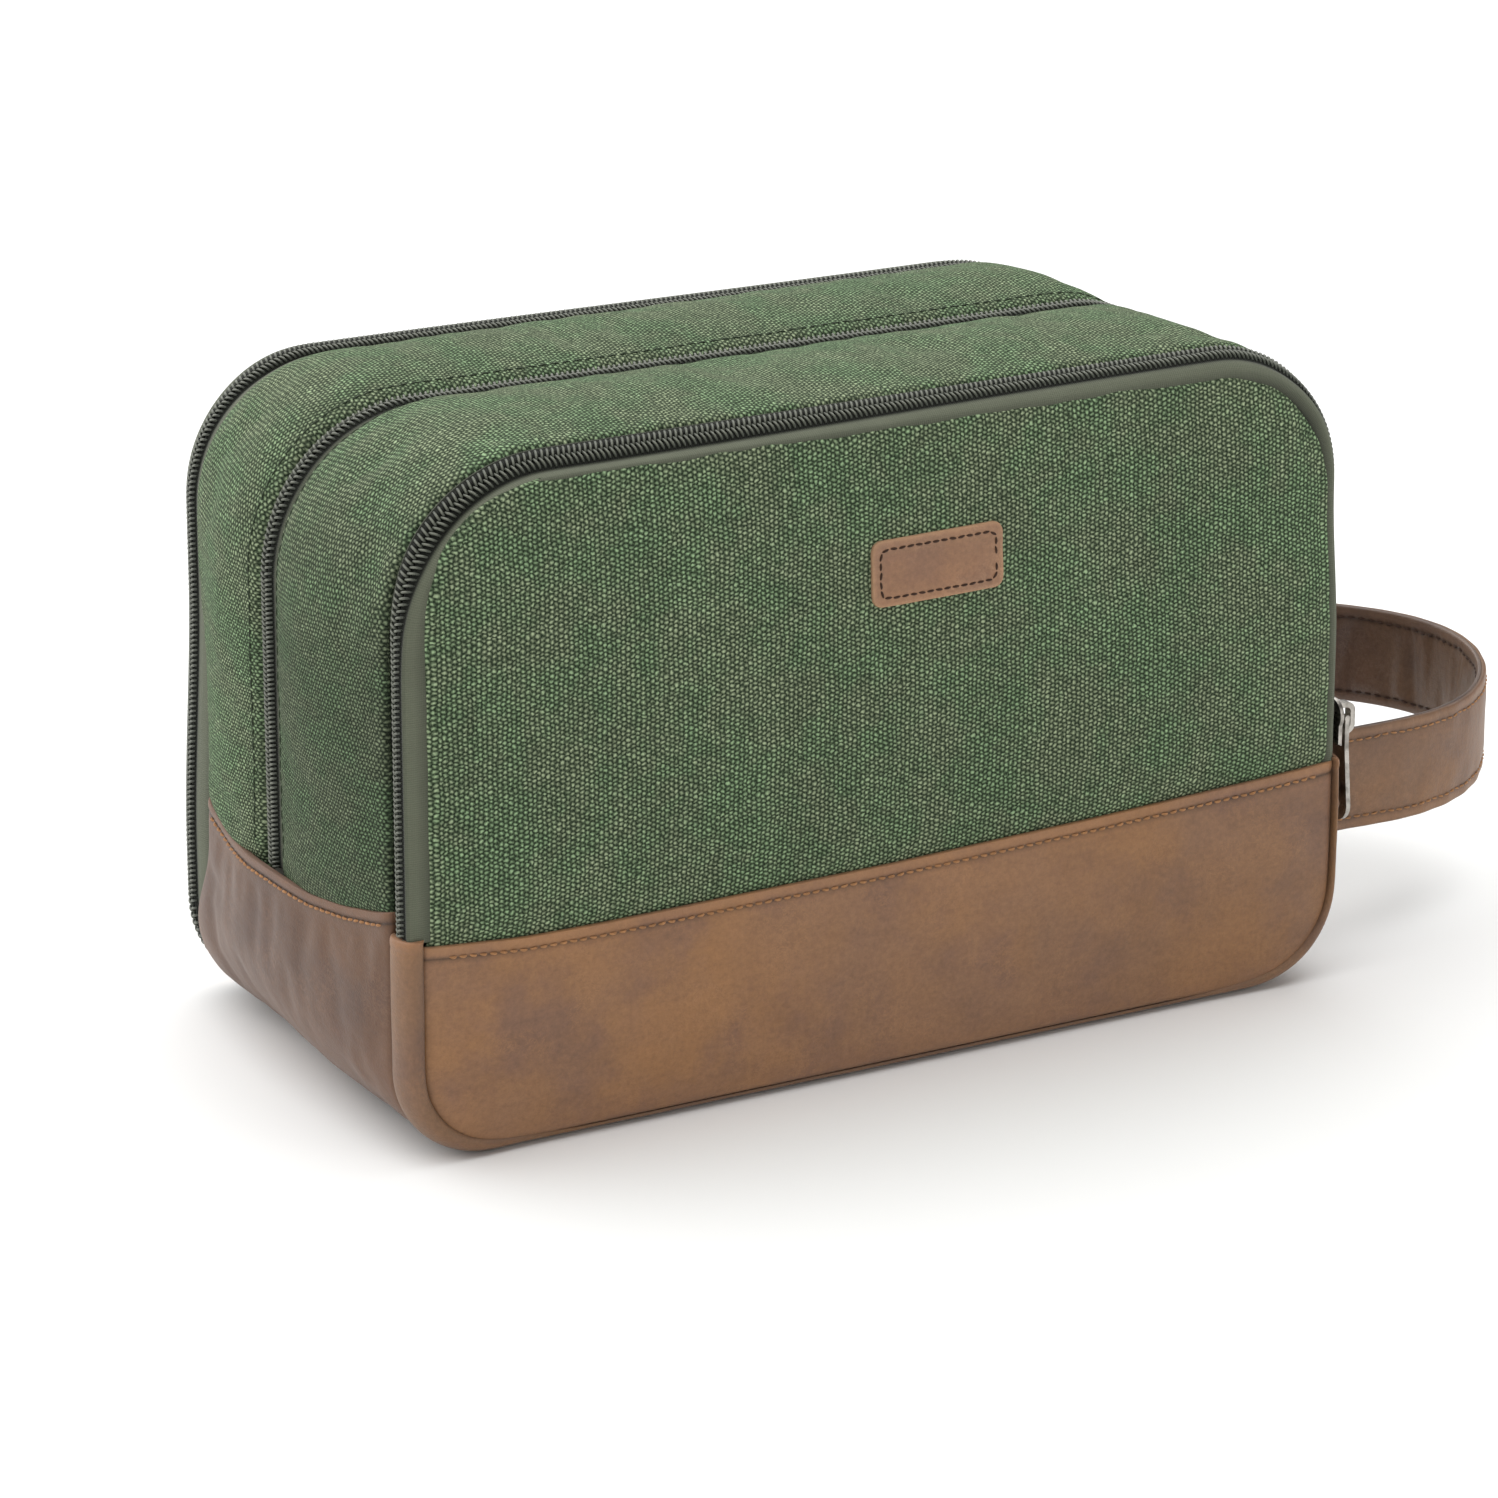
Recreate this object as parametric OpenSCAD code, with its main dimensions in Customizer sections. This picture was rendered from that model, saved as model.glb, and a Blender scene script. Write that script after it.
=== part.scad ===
// Soft toiletry bag with three zips: a canvas body on a leather base, a front
// pocket that folds down, a main compartment that tips open, a rear panel that
// folds flat, and a leather wrist strap on the right side.
// +X runs to the right along the front, -Y is the front, +Z is up. The origin
// is on the floor under the middle of the bag body.

/* [Bag body] */
// Width of the body, strap not included
bag_w = 249; // [230:1:260]
// Depth of the body, front panel to rear panel
bag_d = 130; // [125:1:140]
// Height of the body
bag_h = 160; // [150:1:180]
// Radius of the two top corners
top_r = 35; // [28:1:40]
// Radius of the two bottom corners
base_r = 18; // [14:1:24]
// Height of the seam between leather and canvas
seam_z = 52; // [48:1:60]

/* [Fabric layers] */
// Thickness of canvas and of leather
skin_t = 2.0; // [1.5:0.1:2.5]
// Thickness of the zip tape
tape_t = 0.7; // [0.5:0.1:1]
// Thickness of the foam padding
pad_t = 1.6; // [1.2:0.1:2]
// Thickness of the lining cloth
lining_t = 0.6; // [0.4:0.1:1]
// Bare gap left at every line where the bag opens
open_gap = 1.0; // [0.8:0.1:1.5]

/* [Zips] */
// Middle of the front zip
front_zip_y = -60.2; // [-61:0.1:-59]
// Middle of the zip of the main compartment
mid_zip_y = 2; // [-4:1:8]
// Middle of the rear zip
rear_zip_y = 57; // [56:0.5:58]
// Width of the closed coil
coil_w = 6; // [5:0.5:7]
// Thickness of the coil
coil_t = 1.7; // [1.4:0.1:2]
// Slot between the two coil halves, for the neck of the slider
coil_slot = 1.4; // [1.2:0.1:1.8]
// Width of the tape behind each coil half
tape_w = 9.5; // [8:0.5:10]
// Height at which the rear zip ends
rear_zip_end_z = 14; // [12:1:20]

/* [Sliders] */
// Length of a slider
slider_l = 11; // [9:0.5:12]
// Width of a slider
slider_w = 8; // [7:0.5:8]
// Height of the front and middle sliders when the zips are closed
slider_z = 64; // [60:1:70]
// Height of the rear slider
rear_slider_z = 40; // [38:1:60]
// Length of a pull below its crossbar
pull_l = 26; // [20:1:27]
// Width of a pull at its round end
pull_w = 8.4; // [6:0.2:9]

/* [Strap] */
// Width of the strap, which stands on edge
strap_w = 25; // [20:1:30]
// Height of the middle of the strap
strap_z = 46; // [44:1:56]
// Distance between the outer faces of the two legs
strap_span = 100.5; // [90:0.5:101]
// How far the loop reaches beyond the side of the bag
strap_reach = 81.5; // [60:0.5:95]
// Length of the rounded bow at the far end of the loop
strap_bow = 58; // [40:1:60]
// Thickness of one layer of the strap
strap_t = 1.5; // [1.2:0.1:2]

/* [Label] */
// Width of the blank leather label
label_w = 36; // [30:1:45]
// Height of the label
label_h = 16; // [12:1:20]
// Middle of the label, to the right of the middle of the bag
label_x = 10; // [-20:1:30]
// Height of the middle of the label
label_z = 121; // [100:1:125]

/* [Hidden] */
$fn = 96;

canvas_green = [0.35, 0.39, 0.30];
leather_brown = [0.49, 0.36, 0.28];
tape_green = [0.38, 0.40, 0.34];
coil_dark = [0.20, 0.21, 0.21];
lining_grey = [0.45, 0.44, 0.42];
foam_white = [0.85, 0.85, 0.82];
metal_grey = [0.62, 0.60, 0.57];

// Layers, counted inward from the outer face of the bag
under_skin = skin_t;
under_pad = skin_t + pad_t;
inside = under_pad + lining_t;

// The panels: the front and rear faces and the edges of their pieces
front_y = -bag_d / 2;
rear_y = bag_d / 2;
panel_skin_t = 1.4;
panel_edge = 7.5;
tape_plate_in = 11;
pad_edge = 11.2;
lining_edge = 5;
front_skin_y = front_y + panel_skin_t;
rear_skin_y = rear_y - panel_skin_t;

// Canvas edges stop this far from the middle of a zip
canvas_gap = coil_w / 2 + 1.2;
// Padding and lining stop this far from the middle of a zip
lining_gap = coil_w / 2 + 3;
front_edge_y = front_zip_y + canvas_gap;
rear_edge_y = rear_zip_y - canvas_gap;

// The canvas above the seam is free to move, so it starts a gap higher
canvas_z = seam_z + open_gap;
rear_hinge_z = 4;
rear_flap_z = rear_hinge_z + 0.3;

// Dividers between the three compartments
divider_t = 1.2;
front_divider_y = -30;
rear_divider_y = 31;
board_t = 1.5;

strap_cx = bag_w / 2 + strap_reach - strap_bow;
strap_cy = 0.75;
strap_gap = 1.2;
strap_flex = 4.5;
side_x = bag_w / 2;

// ---------------------------------------------------------------- outlines

// Outline of the bag seen from the front, drawn "inset" inside the outer face
module bag_outline(inset) {
    w = bag_w - 2 * inset;
    h = bag_h - 2 * inset;
    rt = top_r - inset;
    rb = base_r - inset;
    translate([0, inset]) {
        translate([-w / 2, rb]) square([w, h - rb - rt]);
        translate([-w / 2 + rt, rb]) square([w - 2 * rt, h - rb]);
        translate([-w / 2 + rb, 0]) square([w - 2 * rb, h - rt]);
        for (side = [-1, 1]) {
            translate([side * (w / 2 - rt), h - rt]) circle(r = rt);
            translate([side * (w / 2 - rb), rb]) circle(r = rb);
        }
    }
}

// Keeps the part of an outline between two heights
module between(z_low, z_high) {
    intersection() {
        children();
        translate([-bag_w, z_low]) square([2 * bag_w, z_high - z_low]);
    }
}

// Extrudes an outline from the y of its front to the y of its back
module along_y(y_front, y_back) {
    translate([0, y_back, 0]) rotate([90, 0, 0]) linear_extrude(y_back - y_front) children();
}

// One layer that wraps round the sides and the top or the base
module wrap(outer, inner, y_front, y_back, z_low, z_high) {
    along_y(y_front, y_back) between(z_low, z_high) difference() {
        bag_outline(outer);
        bag_outline(inner);
    }
}

// One flat layer across the bag
module sheet(inset, y_front, y_back, z_low, z_high) {
    along_y(y_front, y_back) between(z_low, z_high) bag_outline(inset);
}

// ---------------------------------------------------------------- zip parts

// Half of a coil, on the front (-1) or the rear (+1) side of its middle
module coil_half(zip_y, side, z_low) {
    near = zip_y + side * coil_slot / 2;
    far = zip_y + side * coil_w / 2;
    color(coil_dark)
        wrap(under_skin - coil_t, under_skin, min(near, far), max(near, far), z_low, bag_h);
}

// Half of a tape, sewn under the cloth beside it
module tape_half(zip_y, side, z_low) {
    near = zip_y + side * coil_slot / 2;
    far = zip_y + side * (coil_slot / 2 + tape_w);
    color(tape_green)
        wrap(under_skin, under_skin + tape_t, min(near, far), max(near, far), z_low, bag_h);
}

// Tape that turns the corner onto the front or rear panel
module corner_tape(zip_y, side, skin_y, z_low_side, z_low_panel) {
    near = zip_y + side * coil_slot / 2;
    plate = skin_y - side * tape_t;
    color(tape_green) {
        wrap(under_skin, under_skin + tape_t, min(near, skin_y), max(near, skin_y), z_low_side, bag_h);
        wrap(under_skin, tape_plate_in, min(plate, skin_y), max(plate, skin_y), z_low_panel, bag_h);
    }
}

// Outline of a slider wing: round at the wide end, straight at the narrow end
module wing_outline(w) {
    narrow = w - 1.4;
    translate([0, slider_l / 2 - w / 2]) circle(d = w);
    translate([-narrow / 2, -slider_l / 2]) square([narrow, slider_l - w / 2]);
}

// Stands an outline drawn in Y and Z on the right side of the bag
module on_side(x_low, x_high) {
    translate([x_low, 0, 0]) rotate([90, 0, 90]) linear_extrude(x_high - x_low) children();
}

wing_t = 1.0;
wing_gap = 0.4;
low_wing_w = 4.4;
neck_w = 0.8;
bridge_w = 2.4;
bridge_rise = 5.2;
bridge_l = 8;
bridge_bar = 1.3;
crossbar_r = 0.75;
crossbar_x = side_x + wing_gap + wing_t + 1.9;
crossbar_dz = 0.5;

// Slider: two wings joined by a neck, with an arched bridge for the pull
module slider(zip_y, z) {
    top_x = side_x + wing_gap;
    low_x = side_x - under_skin - tape_t - wing_gap;
    color(metal_grey) translate([0, zip_y, z]) {
        on_side(top_x, top_x + wing_t) wing_outline(slider_w);
        on_side(low_x - wing_t, low_x) wing_outline(low_wing_w);
        translate([low_x, -neck_w / 2, 1]) cube([top_x - low_x, neck_w, slider_l / 2 - 1.6]);
        translate([top_x + wing_t, 0, 0]) bridge();
    }
}

// Arch over the slider, open along Y so that the crossbar passes through it
module bridge() {
    hole_w = bridge_rise - bridge_bar;
    hole_l = bridge_l - 2 * bridge_bar;
    translate([0, bridge_w / 2, 0]) rotate([90, 0, 0]) linear_extrude(bridge_w) difference() {
        rounded_stub(bridge_rise, bridge_l, 2.4);
        rounded_stub(hole_w, hole_l, 1.3);
    }
}

// Rectangle that starts at x = 0 and has its two far corners rounded
module rounded_stub(w, l, r) {
    translate([0, -l / 2]) square([w - r, l]);
    translate([0, -l / 2 + r]) square([w, l - 2 * r]);
    for (side = [-1, 1]) translate([w - r, side * (l / 2 - r)]) circle(r = r);
}

pull_t = 1.2;
arm_in = bridge_w / 2 + 0.35;
arm_out = arm_in + 1.2;
plate_top = 7.2;
pull_hole_r = 1.4;

// Flat pull that hangs from its crossbar; two arms pass on either side of the bridge
module pull(zip_y, z) {
    end_r = pull_w / 2;
    color(metal_grey) translate([crossbar_x, zip_y, z + crossbar_dz]) {
        rotate([90, 0, 0]) cylinder(r = crossbar_r, h = 2 * arm_out, center = true);
        on_pull() {
            for (side = [-1, 1]) {
                translate([side * (arm_in + arm_out) / 2 - 0.6, -plate_top - 1]) square([1.2, plate_top + 1]);
            }
            difference() {
                union() {
                    polygon([[-arm_out, -plate_top], [arm_out, -plate_top],
                             [end_r, -pull_l + end_r], [-end_r, -pull_l + end_r]]);
                    translate([0, -pull_l + end_r]) circle(r = end_r);
                }
                translate([0, -pull_l + end_r]) circle(r = pull_hole_r);
            }
        }
    }
}

// Gives an outline drawn in Y and Z the thickness of the pull
module on_pull() {
    translate([-pull_t / 2, 0, 0]) rotate([90, 0, 90]) linear_extrude(pull_t) children();
}

// ---------------------------------------------------------------- base and sides (fixed)

module side_base_leather() {
    color(leather_brown) wrap(0, under_skin, front_edge_y, rear_edge_y, 0, seam_z);
}

module base_padding() {
    color(foam_white)
        wrap(under_skin, under_pad, front_edge_y, rear_zip_y - coil_slot / 2 - tape_w, 0, seam_z);
}

module base_lining() {
    color(lining_grey)
        wrap(under_pad, inside, front_skin_y + lining_t, rear_zip_y - lining_gap, 0, seam_z);
}

module base_board() {
    board_w = bag_w - 2 * base_r - 12;
    gap = 0.3;
    color("black")
        translate([-board_w / 2, front_divider_y + divider_t / 2 + gap, inside])
            cube([board_w, rear_divider_y - front_divider_y - divider_t - 2 * gap, board_t]);
}

module front_panel_leather() {
    color(leather_brown) sheet(panel_edge, front_y, front_skin_y, 0, seam_z);
}

module front_edge_strip() {
    color(leather_brown) {
        wrap(0, panel_edge, front_y, front_skin_y, 0, seam_z);
        wrap(0, under_skin, front_skin_y, front_edge_y, 0, seam_z);
    }
}

module front_lower_lining() {
    color(lining_grey) sheet(under_skin, front_skin_y, front_skin_y + lining_t, 0, seam_z);
}

module rear_hinge_strip() {
    strip_w = bag_w - 2 * base_r;
    color(leather_brown) {
        translate([-strip_w / 2, rear_edge_y, 0]) cube([strip_w, rear_y - rear_edge_y, under_skin]);
        translate([-strip_w / 2, rear_skin_y, 0]) cube([strip_w, panel_skin_t, rear_hinge_z - 0.1]);
    }
}

module front_divider_lower() {
    color(lining_grey)
        sheet(inside, front_divider_y - divider_t / 2, front_divider_y + divider_t / 2, 0, seam_z);
}

module rear_divider() {
    color(lining_grey)
        sheet(inside, rear_divider_y - divider_t / 2, rear_divider_y + divider_t / 2, 0, bag_h);
}

// Flat elastic band sewn to the rear face of the rear divider
module rear_elastic_band() {
    band_w = bag_w - 2 * inside - 6;
    color("black")
        translate([-band_w / 2, rear_divider_y + divider_t / 2, 84]) cube([band_w, 1, 25]);
}

module rear_gusset_canvas() {
    color(canvas_green) wrap(0, under_skin, mid_zip_y + canvas_gap, rear_edge_y, canvas_z, bag_h);
}

module rear_gusset_padding() {
    color(foam_white)
        wrap(under_skin, under_pad, mid_zip_y + coil_slot / 2 + tape_w,
             rear_zip_y - coil_slot / 2 - tape_w, canvas_z, bag_h);
}

module rear_gusset_lining() {
    color(lining_grey)
        wrap(under_pad, inside, mid_zip_y + lining_gap, rear_zip_y - lining_gap, canvas_z, bag_h);
}

module rear_seam_binding() {
    color(lining_grey)
        wrap(under_pad, inside + 0.8, rear_zip_y - lining_gap, rear_zip_y - slider_w / 2 - 0.3,
             canvas_z, bag_h);
}

module mid_zip_tape_rear() {
    tape_half(mid_zip_y, 1, canvas_z);
}

module mid_zip_coil_rear() {
    coil_half(mid_zip_y, 1, canvas_z);
}

module rear_zip_tape_front() {
    tape_half(rear_zip_y, -1, rear_zip_end_z);
}

module rear_zip_coil_front() {
    coil_half(rear_zip_y, -1, rear_zip_end_z);
}

// ---------------------------------------------------------------- front section (tips forward)

module front_gusset_canvas() {
    color(canvas_green) wrap(0, under_skin, front_edge_y, mid_zip_y - canvas_gap, canvas_z, bag_h);
}

module front_gusset_padding() {
    color(foam_white)
        wrap(under_skin, under_pad, front_zip_y + coil_slot / 2 + tape_w,
             mid_zip_y - coil_slot / 2 - tape_w, canvas_z, bag_h);
}

module front_gusset_lining() {
    color(lining_grey)
        wrap(under_pad, inside, front_zip_y + lining_gap, mid_zip_y - lining_gap, canvas_z, bag_h);
}

module front_seam_binding() {
    color(lining_grey)
        wrap(under_pad, inside + 0.8, front_zip_y + slider_w / 2 + 0.3, front_zip_y + lining_gap,
             canvas_z, bag_h);
}

module front_divider() {
    color(lining_grey)
        sheet(inside, front_divider_y - divider_t / 2, front_divider_y + divider_t / 2,
              canvas_z, bag_h);
}

// Mesh pocket that lies flat on the front face of the front divider
module front_mesh_pocket() {
    pocket_t = 1;
    pocket_top = 112;
    color("dimgray")
        sheet(inside + 3, front_divider_y - divider_t / 2 - pocket_t, front_divider_y - divider_t / 2,
              canvas_z + 2, pocket_top);
}

module mid_zip_tape_front() {
    tape_half(mid_zip_y, -1, canvas_z);
}

module mid_zip_coil_front() {
    coil_half(mid_zip_y, -1, canvas_z);
}

module front_zip_tape_rear() {
    tape_half(front_zip_y, 1, canvas_z);
}

module front_zip_coil_rear() {
    coil_half(front_zip_y, 1, canvas_z);
}

// ---------------------------------------------------------------- front flap (folds down)

module front_panel_canvas() {
    color(canvas_green) sheet(panel_edge, front_y, front_skin_y, canvas_z, bag_h);
}

module front_panel_padding() {
    color(foam_white) sheet(pad_edge, front_skin_y, front_skin_y + pad_t, canvas_z, bag_h);
}

module front_panel_lining() {
    pad_y = front_skin_y + pad_t;
    color(lining_grey) sheet(lining_edge, pad_y, pad_y + lining_t, canvas_z, bag_h);
}

module front_zip_tape_front() {
    corner_tape(front_zip_y, -1, front_skin_y, canvas_z, canvas_z);
}

module front_zip_coil_front() {
    coil_half(front_zip_y, -1, canvas_z);
}

// Blank label with rounded corners
module label_patch() {
    label_t = 1.2;
    corner_r = 2.5;
    color(leather_brown)
        translate([label_x, front_y, label_z]) rotate([90, 0, 0]) linear_extrude(label_t) {
            square([label_w - 2 * corner_r, label_h], center = true);
            square([label_w, label_h - 2 * corner_r], center = true);
            for (sx = [-1, 1], sz = [-1, 1])
                translate([sx * (label_w / 2 - corner_r), sz * (label_h / 2 - corner_r)])
                    circle(r = corner_r);
        }
}

// ---------------------------------------------------------------- rear flap (folds back)

module rear_panel_canvas() {
    color(canvas_green) sheet(panel_edge, rear_skin_y, rear_y, seam_z, bag_h);
}

module rear_panel_leather() {
    color(leather_brown) sheet(lining_edge, rear_skin_y, rear_y, rear_flap_z, seam_z);
}

module rear_panel_padding() {
    color(foam_white) sheet(pad_edge, rear_skin_y - pad_t, rear_skin_y, rear_flap_z, bag_h);
}

module rear_panel_lining() {
    pad_y = rear_skin_y - pad_t;
    color(lining_grey) sheet(lining_edge, pad_y - lining_t, pad_y, rear_flap_z, bag_h);
}

module rear_zip_tape_rear() {
    corner_tape(rear_zip_y, 1, rear_skin_y, rear_zip_end_z, rear_flap_z);
}

module rear_zip_coil_rear() {
    coil_half(rear_zip_y, 1, rear_zip_end_z);
}

// ---------------------------------------------------------------- sliders and pulls

module front_slider() {
    slider(front_zip_y, slider_z);
}

module mid_slider() {
    slider(mid_zip_y, slider_z);
}

module rear_slider() {
    slider(rear_zip_y, rear_slider_z);
}

module front_pull() {
    pull(front_zip_y, slider_z);
}

module mid_pull() {
    pull(mid_zip_y, slider_z);
}

module rear_pull() {
    pull(rear_zip_y, rear_slider_z);
}

// ---------------------------------------------------------------- wrist strap

// U-shaped outline of the loop from above, "inset" inside its outer face
module strap_outline(inset, start_x) {
    a = strap_bow - inset;
    b = strap_span / 2 - inset;
    steps = 40;
    bow = [for (i = [0 : steps]) let (t = -90 + 180 * i / steps)
        [strap_cx + a * cos(t), strap_cy + b * sin(t)]];
    polygon(concat([[start_x, strap_cy - b]], bow, [[start_x, strap_cy + b]]));
}

// One layer of the strap, with its ends cut back so that the loop can flex up and down
module strap_layer(outer, inner) {
    start_x = side_x + strap_gap;
    far_x = side_x + strap_reach + 1;
    intersection() {
        translate([0, 0, strap_z - strap_w / 2]) linear_extrude(strap_w) difference() {
            strap_outline(outer, start_x);
            strap_outline(inner, start_x - 1);
        }
        along_y(-bag_d, bag_d) polygon([
            [start_x, strap_z - 2], [start_x + strap_flex, strap_z - strap_w / 2],
            [far_x, strap_z - strap_w / 2], [far_x, strap_z + strap_w / 2],
            [start_x + strap_flex, strap_z + strap_w / 2], [start_x, strap_z + 2]]);
    }
}

module handle_strap() {
    color(leather_brown) strap_layer(0, strap_t);
}

module handle_strap_lining() {
    color([0.27, 0.21, 0.18]) strap_layer(strap_t, 2 * strap_t);
}

side_base_leather();
base_padding();
base_lining();
base_board();
front_panel_leather();
front_edge_strip();
front_lower_lining();
rear_hinge_strip();
front_divider_lower();
rear_divider();
rear_elastic_band();
rear_gusset_canvas();
rear_gusset_padding();
rear_gusset_lining();
rear_seam_binding();
mid_zip_tape_rear();
mid_zip_coil_rear();
rear_zip_tape_front();
rear_zip_coil_front();
front_gusset_canvas();
front_gusset_padding();
front_gusset_lining();
front_seam_binding();
front_divider();
front_mesh_pocket();
mid_zip_tape_front();
mid_zip_coil_front();
front_zip_tape_rear();
front_zip_coil_rear();
front_panel_canvas();
front_panel_padding();
front_panel_lining();
front_zip_tape_front();
front_zip_coil_front();
label_patch();
rear_panel_canvas();
rear_panel_leather();
rear_panel_padding();
rear_panel_lining();
rear_zip_tape_rear();
rear_zip_coil_rear();
front_slider();
mid_slider();
rear_slider();
front_pull();
mid_pull();
rear_pull();
handle_strap();
handle_strap_lining();
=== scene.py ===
"""Looks of the toiletry bag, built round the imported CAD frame.

Lengths are in mm unless a name says otherwise; meshes are turned into metres when they are made.
A point on the bag's side walls is given by s, the distance walked along the outline seen from the
front (from the middle of the base, up the left side, over the top and down the right side), by its
y, and by its inset, the distance inside the outline.
"""

import math

import bpy
import numpy as np
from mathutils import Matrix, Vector
from mathutils.bvhtree import BVHTree


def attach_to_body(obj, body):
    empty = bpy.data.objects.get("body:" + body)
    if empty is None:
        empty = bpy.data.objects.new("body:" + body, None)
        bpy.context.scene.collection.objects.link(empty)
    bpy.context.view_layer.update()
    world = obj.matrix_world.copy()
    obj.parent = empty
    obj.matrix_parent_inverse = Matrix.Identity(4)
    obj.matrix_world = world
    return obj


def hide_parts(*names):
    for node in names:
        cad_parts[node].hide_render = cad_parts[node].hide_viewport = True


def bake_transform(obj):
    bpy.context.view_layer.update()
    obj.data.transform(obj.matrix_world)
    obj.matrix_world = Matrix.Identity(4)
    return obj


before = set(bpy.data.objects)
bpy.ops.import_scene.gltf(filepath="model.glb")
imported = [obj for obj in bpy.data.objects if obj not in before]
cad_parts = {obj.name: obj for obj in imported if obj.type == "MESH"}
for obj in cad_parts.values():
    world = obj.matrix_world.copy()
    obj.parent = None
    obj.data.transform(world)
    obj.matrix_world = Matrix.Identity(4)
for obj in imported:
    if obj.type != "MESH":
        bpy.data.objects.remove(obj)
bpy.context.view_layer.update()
MM = 0.001

# ---- driving dimensions

FRONT_Y = -65.0
SEAM_Z = 52.0                    # usual height of the seam between leather and canvas
MID_ZIP_Y = 2.0
RIM_Y = 57.0                     # of the rims of the front and rear face, either side of the middle
TUCK = 9.0                       # how far the gussets' canvas runs down behind the leather edge
STITCH_DROP = 2.9                # of the stitch rows, from the leather's edge
CANVAS_WALL = 64.5               # distance of the panels' canvas from the middle of the bag, before it swells
LEATHER_WALL = 64.7
TAPE_WALL = 64.1                 # of the zip tapes that turn onto the faces

# Outline seen from the front, at the front face and at the rear face
FRONT_OUTLINE = dict(left=-124.5, right=124.5, low=1.1, high=160.0, bl=20.5, tl=38.5, tr=34.0, br=23.0)
REAR_OUTLINE = dict(left=-122.6, right=124.5, low=0.6, high=158.2, bl=26.0, tl=34.0, tr=35.5, br=20.0)
# What the outline halfway between them has on top of their mean: the left side bows out
MIDDLE_BULGE = dict(left=-2.6, right=0.0, low=-0.8, high=-0.6, bl=8.0, tl=2.5, tr=-1.0, br=0.0)
# The outline that distances along the walls are measured on, the same at every y
MEASURED_OUTLINE = dict(left=-124.5, right=124.5, low=0.0, high=160.0, bl=18.0, tl=35.0, tr=35.0, br=18.0)

# y of each gusset's front edge, and of its rear edge low on the left, over the top and on the right
FRONT_GUSSET_Y = (-55.6, (-2.6, -2.6, -2.6))
REAR_GUSSET_Y = (6.6, (42.6, 51.0, 50.0))

# Flat pieces on the front and rear face
FRONT_CANVAS = dict(left=-119.0, right=121.6, low=0.0, high=154.4, bl=1.0, tl=30.0, tr=34.0, br=1.0)
FRONT_LEATHER = dict(left=-120.6, right=123.2, low=2.0, high=90.0, bl=20.0, tl=1.0, tr=1.0, br=22.0)
REAR_CANVAS = dict(left=-117.4, right=119.4, low=0.0, high=152.6, bl=1.0, tl=27.0, tr=35.0, br=1.0)
REAR_LEATHER = dict(left=-117.4, right=119.4, low=4.6, high=90.0, bl=15.0, tl=1.0, tr=1.0, br=15.0)

TOOTH_PITCH = 1.35               # of the zips' coil teeth
TOOTH_SIZE = 0.82                # against the teeth of a 6 mm chain
ZIP_STITCH_INSET = 2.8           # of the stitch rows beside the middle zip, from the canvas edge
GUSSET_FINENESS = (1.20, 1.02)   # how much finer the gussets' weave looks, along and across
KNOT_SPACING = (1.18, 1.12)      # of the canvas weave: between columns, and between knots of a column

SIM_FRAMES = 20
FLOOR_GAP = 0.12                 # lowest height that any piece reaches, so that none touches the floor
EDGE_LINES = (0.0, 0.5, 1.3, 2.6)  # distances from an edge where a grid has its first lines

# Folds where a piece spans two bodies: the bodies, and where the fold between them starts and ends
FOLDS = {
    "section fold": ("bag_base", "front_section", (0, 2 * MM, 53 * MM), (0, -24.9 * MM, 82 * MM)),
    "divider fold": ("bag_base", "front_section", (0, -30 * MM, 20 * MM), (0, -30 * MM, 75 * MM)),
    "flap fold": ("front_section", "front_flap", (0, FRONT_Y * MM, 52 * MM), (0, FRONT_Y * MM, 60 * MM)),
    "strap root": ("bag_base", "handle_strap", (0.1245, 0, 0.046), (0.131, 0, 0.046)),
}


# ---- small helpers

def mix(a, b, t):
    return a + (b - a) * t


def smooth(t):
    t = np.clip(t, 0.0, 1.0)
    return t * t * (3 - 2 * t)


def wander(u, v, size, seed, stretch=1.0):
    """Smooth irregular value of about -1 to 1 that changes over size; stretch makes it longer along u."""
    rng = np.random.RandomState(seed)
    total = 0.0
    for _ in range(8):
        angle, phase = rng.uniform(0, math.tau, 2)
        k = math.tau / (size * rng.uniform(0.7, 1.7))
        total = total + np.sin(k * (u * math.cos(angle) / stretch + v * math.sin(angle)) + phase)
    return total / 4.0


def bell(x, width):
    """1 where x is 0, falling away on both sides."""
    return np.exp(-(x / width) ** 2)


def decay(x, width):
    """1 where x is 0, falling away as x grows."""
    return np.exp(-x / width)


def across(length, step, edge=EDGE_LINES):
    """Positions from 0 to length: close together near both ends, then a regular step."""
    edge = np.array(edge, float)
    count = max(2, int(round((length - 2 * edge[-1]) / step)))
    middle = np.linspace(edge[-1], length - edge[-1], count + 1)
    return np.concatenate([edge[:-1], middle, length - edge[-2::-1]])


def attach(obj, body, *nodes):
    """Lets a piece ride on a body in place of CAD nodes; a piece on a fold only has its place baked into its
    mesh.
    """
    if body in FOLDS:
        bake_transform(obj)
    else:
        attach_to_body(obj, body)
    if nodes:
        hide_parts(*nodes)
    return obj


# ---- the outline of the bag

CORNERS = ("bl", "tl", "tr", "br")    # bottom left, top left, top right, bottom right, as seen from the front
STATION_ANGLES = np.radians([-90, -90, -180, -180, -270, -270, -360, -360, -450, -450])


def outline_at(y):
    """The outline's measures at y, each as an array."""
    t = smooth((np.asarray(y, float) + RIM_Y) / (2 * RIM_Y))
    bulge = 4 * t * (1 - t)
    return {k: mix(FRONT_OUTLINE[k], REAR_OUTLINE[k], t) + bulge * MIDDLE_BULGE[k] for k in FRONT_OUTLINE}


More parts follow.
